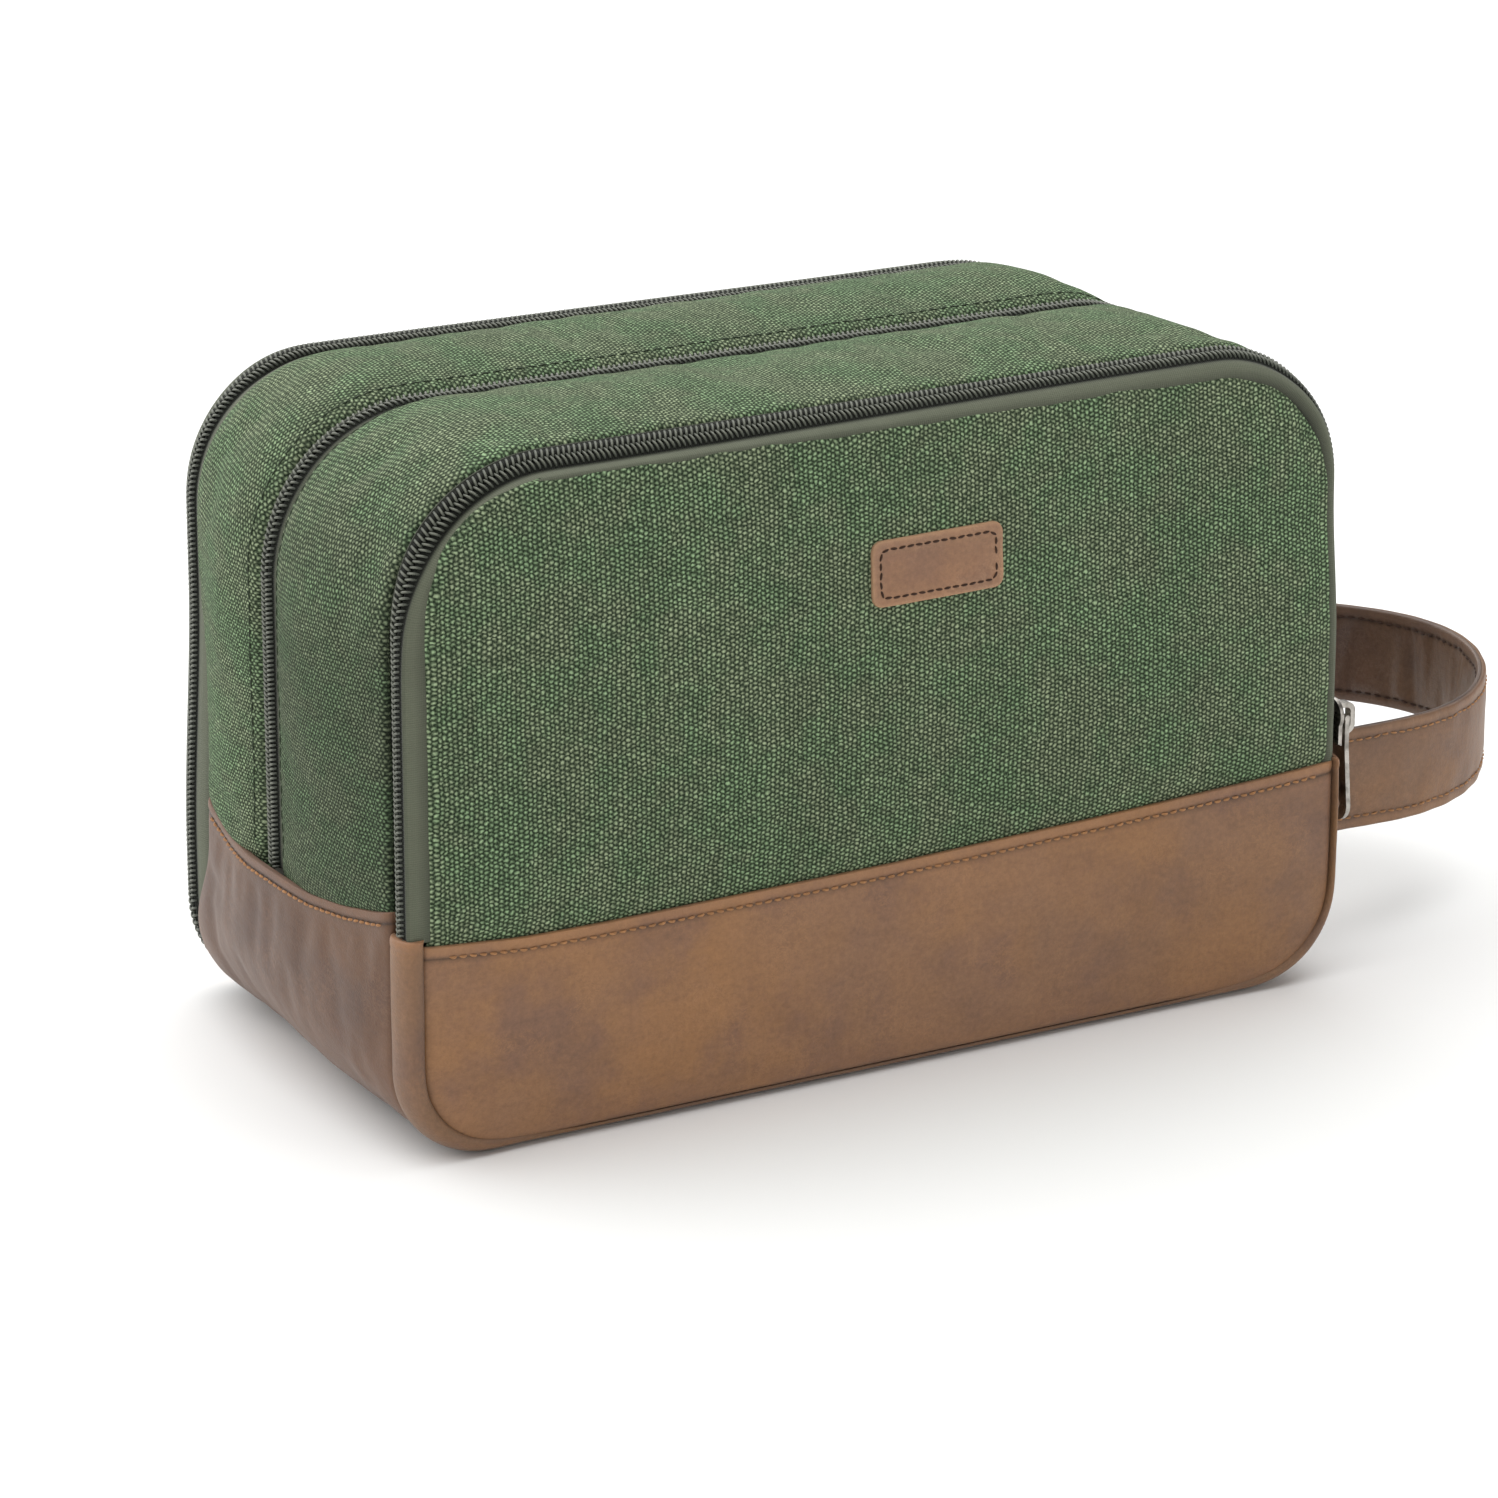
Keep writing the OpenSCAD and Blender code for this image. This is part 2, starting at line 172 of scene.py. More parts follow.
def segment_lengths():
    """Lengths of the outline's straights and corners, from the middle of the base and back to it."""
    o = MEASURED_OUTLINE
    quarter = math.pi / 2
    return np.array([
        -o["left"] - o["bl"], quarter * o["bl"], o["high"] - o["bl"] - o["tl"], quarter * o["tl"],
        o["right"] - o["left"] - o["tl"] - o["tr"], quarter * o["tr"], o["high"] - o["tr"] - o["br"],
        quarter * o["br"], o["right"] - o["br"]])


LENGTHS = segment_lengths()
STATIONS = np.concatenate([[0], np.cumsum(LENGTHS)])
ROUND = STATIONS[-1]
TOP_LEFT, TOP_RIGHT = STATIONS[4], STATIONS[5]


def place(s, y, inset=0.0):
    """Point and outward direction on the bag's side wall, as arrays that end in x, y, z."""
    s, y, inset = (np.asarray(value, float) for value in (s, y, inset))
    s, y, inset = np.broadcast_arrays(s % ROUND, y, inset)
    o = outline_at(y)
    zero = np.zeros_like(s)
    base = (zero, o["low"], zero)
    corners = [(o["left"] + o["bl"], o["low"] + o["bl"], o["bl"]),
               (o["left"] + o["tl"], o["high"] - o["tl"], o["tl"]),
               (o["right"] - o["tr"], o["high"] - o["tr"], o["tr"]),
               (o["right"] - o["br"], o["low"] + o["br"], o["br"])]
    stations = [base] + [corner for corner in corners for _ in range(2)] + [base]
    centre_x, centre_z, radius = (np.stack(column) for column in zip(*stations))
    k = np.clip(np.searchsorted(STATIONS, s, side="right") - 1, 0, 8)
    f = (s - STATIONS[k]) / LENGTHS[k]

    def pick(table):
        low = np.take_along_axis(table, k[None], 0)[0]
        high = np.take_along_axis(table, k[None] + 1, 0)[0]
        return mix(low, high, f)

    angle = mix(STATION_ANGLES[k], STATION_ANGLES[k + 1], f)
    normal = np.stack([np.cos(angle), zero, np.sin(angle)], -1)
    point = np.stack([pick(centre_x), y, pick(centre_z)], -1)
    return point + normal * (pick(radius) - inset)[..., None], normal


def side_s(side, z, y):
    """The s of height z on the left (-1) or right (+1) side."""
    o = outline_at(y)
    if side < 0:
        f = (z - o["low"] - o["bl"]) / (o["high"] - o["low"] - o["bl"] - o["tl"])
        return STATIONS[2] + f * LENGTHS[2]
    f = (o["high"] - o["tr"] - z) / (o["high"] - o["low"] - o["tr"] - o["br"])
    return STATIONS[6] + f * LENGTHS[6]


def rightness(s):
    """0 on the left side and over the top, 1 on the right side, smooth round the right corner."""
    return smooth((s - TOP_RIGHT) / (STATIONS[6] - TOP_RIGHT))


def topness(s):
    """1 over the top, 0 on both sides, smooth round the corners."""
    up = smooth((s - STATIONS[3] + 16) / (LENGTHS[3] + 8))
    down = smooth((STATIONS[6] + 4 - s) / (LENGTHS[5] + 4))
    return up * down


def side_seam_z(y):
    """Height of the leather edge on the left and right side."""
    return np.interp(y, [-56, -50, -37, -21, 0, 11, 23, 38, 45],
                     [58.5, 57, 54.6, 52.8, 52.6, 52.2, 52.8, 55.6, 57.5])


def front_seam_z(x):
    """Height of the leather edge on the front."""
    return np.interp(x, [-121, -95, -76, 0, 57, 100, 126], [52.2, 50.4, 50.2, 51.0, 52.6, 54.2, 55.4])


def settle(points):
    """The bag narrows a little towards its top: on the right, and on the left towards the rear."""
    x, y, z = points[..., 0], points[..., 1], points[..., 2]
    right = 2.0 * smooth((z - 85) / 38) * smooth((x + 40) / 160)
    left = 2.6 * smooth((z - 40) / 65) * smooth((20 - x) / 140) * smooth((y - 5) / 45)
    moved = points.copy()
    moved[..., 0] = x - right + left
    return moved


# ---- meshes

def new_piece(name, points, faces, surface, mark, material):
    """A smooth-shaded mesh from points in mm. surface is each point's place on the cloth, for its weave."""
    points = np.array(points, float)
    points[:, 2] = np.maximum(points[:, 2], FLOOR_GAP)
    mesh = bpy.data.meshes.new(name)
    mesh.from_pydata((points * MM).tolist(), [], faces)
    cloth_place = mesh.attributes.new("surface", "FLOAT_VECTOR", "POINT")
    cloth_place.data.foreach_set("vector", (np.asarray(surface, float) * MM).astype(np.float32).ravel())
    if mark is not None:
        marks = mesh.attributes.new("mark", "FLOAT", "POINT")
        marks.data.foreach_set("value", np.asarray(mark, np.float32).ravel())
    mesh.polygons.foreach_set("use_smooth", [True] * len(mesh.polygons))
    mesh.materials.append(material)
    mesh.update()
    obj = bpy.data.objects.new(name, mesh)
    bpy.context.scene.collection.objects.link(obj)
    return obj


def quads(index):
    """Four-cornered faces between the points of a grid."""
    return np.stack([index[:-1, :-1], index[1:, :-1], index[1:, 1:], index[:-1, 1:]], -1).reshape(-1, 4)


def tube_faces(rings, sides):
    """Faces of a tube of points, and how many points it has."""
    per = rings * sides
    index = np.arange(per).reshape(rings, sides)
    return quads(np.concatenate([index, index[:, :1]], 1)), per


def shell(name, outer, inner, u, v, mark, material):
    """Closed piece between an outer and an inner grid of points."""
    n, m = outer.shape[:2]
    high = np.arange(n * m).reshape(n, m)
    low = high + n * m
    faces = [quads(high), quads(low)[:, ::-1]]
    rims = ((high[0], low[0]), (high[:, -1], low[:, -1]), (high[-1][::-1], low[-1][::-1]),
            (high[::-1, 0], low[::-1, 0]))
    for edge, under in rims:
        faces.append(np.stack([edge[:-1], edge[1:], under[1:], under[:-1]], -1))
    faces = np.concatenate(faces)
    points = np.concatenate([outer.reshape(-1, 3), inner.reshape(-1, 3)])
    corner = points[faces]
    volume = (corner[:, 0] * np.cross(corner[:, 1], corner[:, 2])).sum()
    volume += (corner[:, 0] * np.cross(corner[:, 2], corner[:, 3])).sum()
    if volume < 0:
        faces = faces[:, ::-1]
    u, v, mark = np.broadcast_arrays(u, v, mark)
    outside = np.stack([u, v, np.zeros_like(u)], -1).reshape(-1, 3)
    surface = np.concatenate([outside, outside + (0, 0, 7)])    # the inner side has another bit of the cloth
    marks = np.concatenate([mark.ravel(), mark.ravel()])
    return new_piece(name, settle(points), faces.tolist(), surface, marks, material)


def subdivide(obj, levels=2):
    """Smooths a piece's grid."""
    modifier = obj.modifiers.new("subdivision", "SUBSURF")
    modifier.levels = levels
    modifier.render_levels = levels
    return obj


def inflate(obj, shape, hold, pressure, grow, cap):
    """Short cloth simulation of a shell whose inner grid and edges are held: its face swells a little.

    shape is the grid's number of rows and columns, hold how many lines are held at each edge, grow the
    share by which the cloth is cut larger than its place, and cap how far a point may move."""
    n, m = shape
    free = np.zeros((n, m), bool)
    free[hold[0]:n - hold[0], hold[1]:m - hold[1]] = True
    held = np.concatenate([~free.ravel(), np.ones(n * m, bool)])
    group = obj.vertex_groups.new(name="held")
    group.add(np.flatnonzero(held).tolist(), 1.0, "REPLACE")
    start = np.array([p.co for p in obj.data.vertices])
    cloth = obj.modifiers.new("cloth", "CLOTH")
    settings = cloth.settings
    settings.quality = 6
    settings.mass = 0.25
    settings.tension_stiffness = 12
    settings.compression_stiffness = 12
    settings.shear_stiffness = 4
    settings.bending_stiffness = 0.6
    settings.vertex_group_mass = "held"
    settings.shrink_min = -grow
    settings.use_pressure = True
    settings.uniform_pressure_force = pressure
    settings.effector_weights.gravity = 0
    for step in range(1, SIM_FRAMES + 1):
        bpy.context.scene.frame_set(step)
    bpy.context.view_layer.objects.active = obj
    bpy.ops.object.modifier_apply(modifier=cloth.name)
    end = np.array([p.co for p in obj.data.vertices])
    end[:, 2] = np.maximum(end[:, 2], FLOOR_GAP * MM)
    move = end - start
    far = np.linalg.norm(move, axis=1, keepdims=True) / (cap * MM)
    obj.data.vertices.foreach_set("co", (start + move / np.sqrt(1 + far * far)).ravel())
    obj.data.update()
    obj.vertex_groups.clear()
    bpy.context.scene.frame_set(1)
    return obj


def surface_tree(obj):
    """Search tree of a piece as it is shown, modifiers included."""
    graph = bpy.context.evaluated_depsgraph_get()
    return BVHTree.FromObject(obj, graph)


# ---- materials

class Graph:
    """A material's node graph. Surface places are in mm."""

    def __init__(self, name):
        self.material = bpy.data.materials.new(name)
        self.material.use_nodes = True
        self.tree = self.material.node_tree
        self.shader = self.tree.nodes["Principled BSDF"]

    def node(self, kind, inputs=(), output=0, **settings):
        made = self.tree.nodes.new(kind)
        for key, value in settings.items():
            setattr(made, key, value)
        for key, value in (inputs.items() if isinstance(inputs, dict) else enumerate(inputs)):
            if isinstance(value, bpy.types.NodeSocket):
                self.tree.links.new(value, made.inputs[key])
            elif value is not None:
                made.inputs[key].default_value = value
        return made.outputs[output]

    def set(self, **inputs):
        for key, value in inputs.items():
            socket = self.shader.inputs[key.replace("_", " ")]
            if isinstance(value, bpy.types.NodeSocket):
                self.tree.links.new(value, socket)
            else:
                socket.default_value = value

    def place(self):
        where = self.node("ShaderNodeAttribute", attribute_name="surface", output="Vector")
        return self.scale(where, 1000)

    def object_place(self):
        return self.scale(self.node("ShaderNodeTexCoord", output="Object"), 1000)

    def xy(self, vector):
        split = self.node("ShaderNodeSeparateXYZ", (vector,)).node
        return split.outputs[0], split.outputs[1]

    def mark(self):
        return self.node("ShaderNodeAttribute", attribute_name="mark", output="Fac")

    def scale(self, vector, factor):
        return self.node("ShaderNodeVectorMath", {0: vector, "Scale": factor}, operation="SCALE")

    def vector(self, operation, a, b=None):
        return self.node("ShaderNodeVectorMath", (a, b), operation=operation)

    def math(self, operation, a, b=0.0, clamp=False):
        return self.node("ShaderNodeMath", (a, b), operation=operation, use_clamp=clamp)

    def add(self, a, b):
        return self.math("ADD", a, b)

    def times(self, a, b):
        return self.math("MULTIPLY", a, b)

    def total(self, start, *terms):
        """start, and each further value times its factor."""
        for value, factor in terms:
            start = self.add(self.times(value, factor), start)
        return start

    def noise(self, vector, size, detail=2.0, roughness=0.5, output="Fac"):
        inputs = {"Vector": vector, "Scale": 1.0 / size, "Detail": detail, "Roughness": roughness}
        return self.node("ShaderNodeTexNoise", inputs, output=output)

    def colours(self, factor, a, b):
        inputs = {0: factor, 6: a, 7: b}
        return self.node("ShaderNodeMix", inputs, output=2, data_type="RGBA")

    def shade(self, colour, factor):
        """Colour made lighter or darker by a factor."""
        inputs = {0: 1.0, 6: colour, 7: self.node("ShaderNodeCombineColor", (factor, factor, factor))}
        return self.node("ShaderNodeMix", inputs, output=2, data_type="RGBA", blend_type="MULTIPLY")

    def between(self, value, low, high):
        """0 at low, 1 at high, smooth between."""
        inputs = {0: value, 1: low, 2: high, 3: 0.0, 4: 1.0}
        return self.node("ShaderNodeMapRange", inputs, interpolation_type="SMOOTHSTEP")

    def bump(self, height, depth, strength=1.0, under=None):
        """Bump of a height of 0 to 1 that stands for depth mm."""
        inputs = {"Height": height, "Distance": depth * MM, "Strength": strength}
        if under is not None:
            inputs["Normal"] = under
        return self.node("ShaderNodeBump", inputs)


def colour(r, g, b):
    """Linear colour from 8-bit sRGB values."""
    def linear(c):
        c = c / 255
        return c / 12.92 if c <= 0.04045 else ((c + 0.055) / 1.055) ** 2.4
    return (linear(r), linear(g), linear(b), 1.0)


def make_canvas(name, gap, knot, green):
    """Coarse weave: round knots in staggered columns with dark gaps, uneven in tone and hue."""
    g = Graph(name)
    place_mm = g.place()
    drift = g.vector("SUBTRACT", g.noise(place_mm, 9, 3, 0.6, output="Color"), (0.5, 0.5, 0.5))
    jitter = g.vector("SUBTRACT", g.noise(place_mm, 1.5, 2, 0.6, output="Color"), (0.5, 0.5, 0.5))
    where = g.vector("ADD", place_mm, g.vector("ADD", g.scale(drift, 1.6), g.scale(jitter, 1.1)))
    x, y = (g.times(value, 1 / spacing) for value, spacing in zip(g.xy(where), KNOT_SPACING))
    across_x = g.math("COSINE", g.times(x, math.pi))
    across_y = g.math("COSINE", g.times(y, math.tau))
    product = g.times(across_x, g.add(across_y, across_x))
    round_knot = g.math("ADD", g.times(product, 0.444), 0.112, clamp=True)
    column = g.math("FLOOR", g.add(x, 0.5))
    row = g.math("FLOOR", g.add(y, g.add(g.times(column, -0.5), 0.5)))
    which = g.node("ShaderNodeCombineXYZ", (column, row, 0.0))
    knot_tone = g.node("ShaderNodeTexWhiteNoise", {"Vector": which}, noise_dimensions="3D")
    column_tone = g.node("ShaderNodeTexWhiteNoise", {"W": column}, noise_dimensions="1D")
    fibre = g.noise(g.vector("MULTIPLY", place_mm, (1.0, 0.7, 1.0)), 0.4, 3, 0.7)
    slub = g.noise(g.vector("MULTIPLY", place_mm, (0.12, 1.0, 1.0)), 1.8, 2)
    lit = g.times(g.math("POWER", round_knot, 1.15), g.add(g.times(knot_tone, 0.55), 0.66))
    lit = g.math("ADD", lit, g.times(g.math("SUBTRACT", fibre, 0.5), 0.85), clamp=True)
    hue = g.between(g.noise(g.vector("ADD", place_mm, (7.0, 3.0, 1.0)), 22, 4, 0.7), 0.40, 0.62)
    tone = g.colours(lit, gap, g.colours(hue, knot, green))
    cloud = g.noise(place_mm, 34, 3, 0.55)
    level = g.total(0.71, (slub, 0.24), (cloud, 0.30), (column_tone, 0.10))
    # The mark darkens the cloth: painted shade on the gussets' sides, which get less light than the top
    tone = g.shade(g.shade(tone, level), g.total(1.0, (g.mark(), 0.35)))
    height = g.add(g.math("POWER", round_knot, 0.7), g.times(fibre, 0.45))
    g.set(Base_Color=tone, Roughness=g.total(0.80, (fibre, 0.16)), Normal=g.bump(height, 0.42, 0.9))
    g.set(Specular_IOR_Level=0.25, Sheen_Weight=0.12, Sheen_Roughness=0.55, Sheen_Tint=colour(150, 172, 128))
    return g.material


def make_leather(name, base, warm, cool, edge, rough=0.34):
    """Pull-up leather: cloudy warm and cool patches, fine grain, pale where it is folded or rubbed."""
    base, warm, cool, edge = (colour(*tone) for tone in (base, warm, cool, edge))
    grain = 0.85
    g = Graph(name)
    where = g.place()
    cloud = g.noise(where, 60, 3, 0.55)
    patch = g.noise(g.vector("ADD", where, (31.0, 17.0, 5.0)), 26, 4, 0.6)
    fleck = g.noise(where, 1.5, 6, 0.78)
    rub = g.noise(g.vector("MULTIPLY", where, (0.5, 1.0, 1.0)), 8, 6, 0.75)
    tone = g.colours(g.between(cloud, 0.34, 0.66), base, warm)
    tone = g.colours(g.times(g.between(patch, 0.40, 0.74), 0.8), tone, cool)
    tone = g.shade(tone, g.total(0.25, (rub, 0.50), (fleck, 1.00)))
    bent = g.vector("ADD", where, g.scale(g.noise(where, 5, 2, output="Color"), 5.0))
    vein = g.math("ABSOLUTE", g.math("SUBTRACT", g.noise(bent, 3.0, 4, 0.75), 0.5))
    scratched = g.times(g.between(g.noise(g.vector("ADD", where, (9.0, 4.0, 2.0)), 17, 3), 0.42, 0.66), 0.42)
    tone = g.colours(g.times(g.math("SUBTRACT", 1.0, g.between(vein, 0.0, 0.035)), scratched), tone, edge)
    worn = g.times(g.math("MAXIMUM", g.mark(), 0.0), g.total(0.45, (fleck, 0.7)))
    tone = g.colours(g.math("MINIMUM", worn, 1.0), tone, edge)
    # Darker where the mark is below 0: mostly painted shade, in grooves and along stitch rows
    tone = g.shade(tone, g.total(1.0, (g.math("MINIMUM", g.mark(), 0.0), 0.55)))
    cells = g.node("ShaderNodeTexVoronoi", {"Vector": where, "Scale": 1 / grain}, feature="F1")
    pore = g.node("ShaderNodeTexVoronoi", {"Vector": where, "Scale": 1 / grain}, feature="DISTANCE_TO_EDGE")
    crinkle = g.noise(g.vector("MULTIPLY", where, (1.0, 0.5, 1.0)), 3.6, 5, 0.62)
    fine = g.bump(g.add(g.between(pore, 0.0, 0.16), g.times(cells, 0.4)), 0.05, 0.55)
    normal = g.bump(crinkle, 0.45, 0.55, under=fine)
    roughness = g.total(rough, (patch, 0.12), (fleck, 0.22))
    g.set(Base_Color=tone, Roughness=roughness, Normal=normal)
    g.set(Specular_IOR_Level=0.42, Sheen_Weight=0.08, Sheen_Roughness=0.4)
    return g.material


def make_tape(name, base, dark):
    """Woven zip tape: fine ribs across it, with painted shade where mark is up to 1: under the chain and
    where the tape goes under the cloth.
    """
    rib = 0.55
    g = Graph(name)
    where = g.place()
    x, y = g.xy(where)
    ribs = g.math("ABSOLUTE", g.math("SINE", g.times(x, math.pi / rib)))
    cross = g.math("ABSOLUTE", g.math("SINE", g.times(y, math.pi / (rib * 0.8))))
    grit = g.noise(where, 0.5, 3, 0.7)
    cloud = g.noise(where, 12, 2)
    height = g.add(g.times(ribs, 0.6), g.add(g.times(cross, 0.3), g.times(grit, 0.5)))
    tone = g.shade(base, g.total(0.62, (cloud, 0.26), (height, 0.34)))
    tone = g.colours(g.mark(), tone, dark)
    g.set(Base_Color=tone, Roughness=g.total(0.82, (grit, 0.15)), Normal=g.bump(height, 0.14, 0.8))
    g.set(Specular_IOR_Level=0.2, Sheen_Weight=0.1)
    return g.material


def make_coil(name, base, light):
    """Nylon coil, pale along the crowns of its teeth: a painted highlight, partly the sewing thread's pale
    colour.
    """
    g = Graph(name)
    where = g.place()
    grit = g.noise(where, 0.35, 3, 0.7)
    cloud = g.noise(where, 5, 2)
    crown = g.times(g.mark(), g.total(0.15, (grit, 1.0)))
    tone = g.colours(g.math("MINIMUM", crown, 1.0), g.shade(base, g.total(0.75, (cloud, 0.5))), light)
    g.set(Base_Color=tone, Roughness=g.total(0.30, (grit, 0.25)), Normal=g.bump(grit, 0.05, 0.5))
    g.set(Specular_IOR_Level=0.5)
    return g.material


def make_thread(name, base):
    """Twisted sewing thread."""
    g = Graph(name)
    where = g.place()
    x, y = g.xy(where)
    twist = g.math("SINE", g.times(g.add(x, y), 14.0))
    grit = g.noise(where, 0.9, 2)
    tone = g.shade(base, g.total(0.55, (grit, 0.9), (twist, 0.10)))
    g.set(Base_Color=tone, Roughness=g.total(0.55, (grit, 0.2)), Normal=g.bump(twist, 0.06, 0.6))
    g.set(Specular_IOR_Level=0.35)
    return g.material


def make_cloth(name, base, cell=0.35, depth=0.06):
    """Plain fine cloth for linings, bindings and bands."""
    g = Graph(name)
    where = g.place()
    x, y = g.xy(where)
    warp = g.math("SINE", g.times(x, math.pi / cell))
    weft = g.math("SINE", g.times(y, math.pi / cell))
    weave = g.add(g.times(g.times(warp, weft), 0.5), 0.5)
    cloud = g.noise(where, 25, 3)
    tone = g.shade(base, g.total(0.75, (cloud, 0.25), (weave, 0.3)))
    g.set(Base_Color=tone, Roughness=g.total(0.6, (cloud, 0.2)), Normal=g.bump(weave, depth, 0.6))
    g.set(Specular_IOR_Level=0.3, Sheen_Weight=0.1)
    return g.material


def make_metal(name):
    """Nickel plate with fine scratches and duller patches."""
    g = Graph(name)
    where = g.object_place()
    scratch = g.noise(g.vector("MULTIPLY", where, (1.0, 6.0, 0.35)), 0.6, 3, 0.6)
    patch = g.noise(where, 3.5, 3)
    tone = g.colours(g.between(patch, 0.35, 0.7), colour(176, 171, 164), colour(122, 118, 112))
    roughness = g.total(0.14, (patch, 0.14), (scratch, 0.16))
    g.set(Base_Color=tone, Metallic=1.0, Roughness=roughness, Normal=g.bump(scratch, 0.03, 0.35))
    return g.material


def make_board(name):
    """Black polypropylene sheet with a fine stipple."""
    g = Graph(name)
    where = g.object_place()
    stipple = g.noise(where, 0.7, 3, 0.6)
    tone = g.shade(colour(52, 52, 52), g.total(0.75, (stipple, 0.5)))
    g.set(Base_Color=tone, Roughness=g.total(0.5, (stipple, 0.2)), Normal=g.bump(stipple, 0.06, 0.5))
    return g.material


CANVAS = make_canvas("green_canvas", colour(28, 42, 25), colour(166, 180, 144), colour(152, 182, 138))
# base, warm and cool patches, and worn edges
LEATHER = make_leather("brown_leather", (137, 101, 74), (150, 107, 68), (118, 88, 73), (170, 124, 84))
# For the sides and base, a darker and cooler copy of the brown leather: painted shade, with a cool tint that
# stands for the sheen on them
SHADED_SIDE_LEATHER = make_leather("shaded_side_leather", (91, 67, 53), (98, 68, 46), (80, 61, 54), (132, 97, 74))
EDGE_LEATHER = make_leather("brown_edge_leather", (120, 91, 70), (130, 95, 62), (104, 80, 70), (156, 112, 78))
STRAP_LEATHER = make_leather("strap_leather", (121, 90, 67), (132, 95, 63), (104, 79, 66), (148, 112, 82))
LABEL_LEATHER = make_leather("label_leather", (138, 102, 76), (148, 106, 74), (120, 90, 74), (186, 146, 112))
STRAP_INNER = make_leather("strap_lining_leather", (96, 73, 60), (108, 82, 62), (74, 58, 54), (122, 98, 84),
                           rough=0.18)
# The tape's second colour is painted shade, under the chain and where the tape goes under the cloth
TAPE = make_tape("zip_tape", colour(98, 102, 86), colour(32, 34, 29))
# The coil's second colour is a painted highlight for the crowns of the teeth, partly the pale sewing thread
COIL = make_coil("zip_coil", colour(64, 68, 58), colour(160, 162, 146))
TAN_THREAD = make_thread("tan_thread", colour(182, 132, 88))
GREEN_THREAD = make_thread("green_thread", colour(52, 66, 44))
DARK_THREAD = make_thread("dark_thread", colour(62, 38, 24))
METAL = make_metal("nickel_plate")
BOARD = make_board("black_board")
LINING = make_cloth("lining_cloth", colour(140, 138, 128))
BINDING = make_cloth("binding_tape", colour(46, 47, 46), cell=0.8, depth=0.15)
ELASTIC = make_cloth("elastic_band", colour(40, 40, 40), cell=0.9, depth=0.2)
MESH = make_cloth("mesh_cloth", colour(38, 38, 38), cell=0.5)


# ---- gussets

def gusset(name, y_front, y_rear, valley, seed, dusk, top_sink=0.0, corner_sink=0.0):
    """Padded canvas band over the left side, the top and the right side.

    y_rear is its rear edge low on the left, over the top and on the right. valley is how far each edge
    sinks, top_sink how much further the rear edge does over the top, and corner_sink how far the cloth
    hangs in at the top right corner. dusk is how much painted shade darkens the sides, which get less
    light than the top."""
    crown = 1.9
    length = side_s(1, SEAM_Z, 0.0) - side_s(-1, SEAM_Z, 0.0) + 2 * TUCK
    start = np.array([0, 4, 7, 8.5, 10, 12, 15, 19])
    rows = np.concatenate([start, np.linspace(23, length - 23, 112), length - start[::-1]]) / length
    width = y_rear[0] - y_front
    columns = across(width, 4.0) / width
    r, t = np.meshgrid(rows, columns, indexing="ij")
    s_rough = mix(side_s(-1, SEAM_Z, 0.0), side_s(1, SEAM_Z, 0.0), r)
    left_top = mix(y_rear[0], y_rear[1], smooth((s_rough - side_s(-1, 60.0, 0.0)) / 75))
    high_y = mix(left_top, y_rear[2], rightness(s_rough))
    y = mix(y_front, high_y, t)
    s_left = side_s(-1, side_seam_z(y) - TUCK, y)
    s_right = side_s(1, side_seam_z(y) - TUCK, y)
    s = mix(s_left, s_right, r)
    above = np.minimum(s - s_left, s_right - s) - TUCK
    from_front, from_rear = y - y_front, high_y - y
    inset = -crown * np.sin(math.pi * t) ** 0.8
    inset = inset + valley[0] * decay(from_front, 3.0) + valley[1] * decay(from_rear, 3.0)
    inset = inset + 0.9 * decay(from_front, 0.6) + 0.9 * decay(from_rear, 0.6)
    inset += top_sink * topness(s) * decay(from_rear, 8)
    inset += corner_sink * bell(s - (TOP_RIGHT + STATIONS[6]) / 2, 26) * np.sin(math.pi * t)
    pucker = wander(s, y, 11, seed, stretch=0.45) * 0.35
    inset += pucker * (decay(from_rear, 9) + decay(from_front, 9)) * smooth(from_rear / 2)
    inset += wander(s, y, 60, seed + 1) * 0.5 * np.sin(math.pi * t)
    seam_side = from_rear if y_rear[0] < 10 else from_front
    inset += 0.3 * bell(seam_side - ZIP_STITCH_INSET, 0.5)
    inset = mix(inset, 1.7, smooth((2 - above) / 4.5))
    # Painted shade: the sides darker than the top, which gets more light
    mark = -dusk * (1 - topness(s))
    soft = smooth(np.minimum(np.minimum(from_front, from_rear), above + 4) / 12)
    under = np.minimum(inset + 1.3 + 1.6 * soft, 3.45)
    outer, _ = place(s, y, inset)
    inner, _ = place(s, y, under)
    piece = shell(name, outer, inner, s * GUSSET_FINENESS[0], y * GUSSET_FINENESS[1], mark, CANVAS)
    inflate(piece, s.shape, (6, 4), pressure=5, grow=0.012, cap=2.0)
    return subdivide(piece)


front_gusset = gusset("front_gusset", *FRONT_GUSSET_Y, (0.2, 1.7), 11, 1.15, corner_sink=3.7)
attach(front_gusset, "section fold", "front_gusset_canvas", "front_gusset_padding")

rear_gusset = gusset("rear_gusset", *REAR_GUSSET_Y, (1.7, 0.6), 23, 0.1, top_sink=1.5, corner_sink=2.4)
attach(rear_gusset, "bag_base", "rear_gusset_canvas", "rear_gusset_padding")


# ---- leather of the sides and base

def leather_edge(above):
    """How far leather stands out near its folded top edge, with the groove of the stitch row."""
    fold = 0.20 * smooth(above / 0.7) * (1 - smooth((above - 2.4) / 2.2))
    groove = 0.42 * bell(above - STITCH_DROP, 0.6)
    return fold - groove


def stitch_shade(above):
    """Painted shade in the groove of the stitch row, for the leather's mark."""
    return 1.3 * bell(above - STITCH_DROP, 0.45)


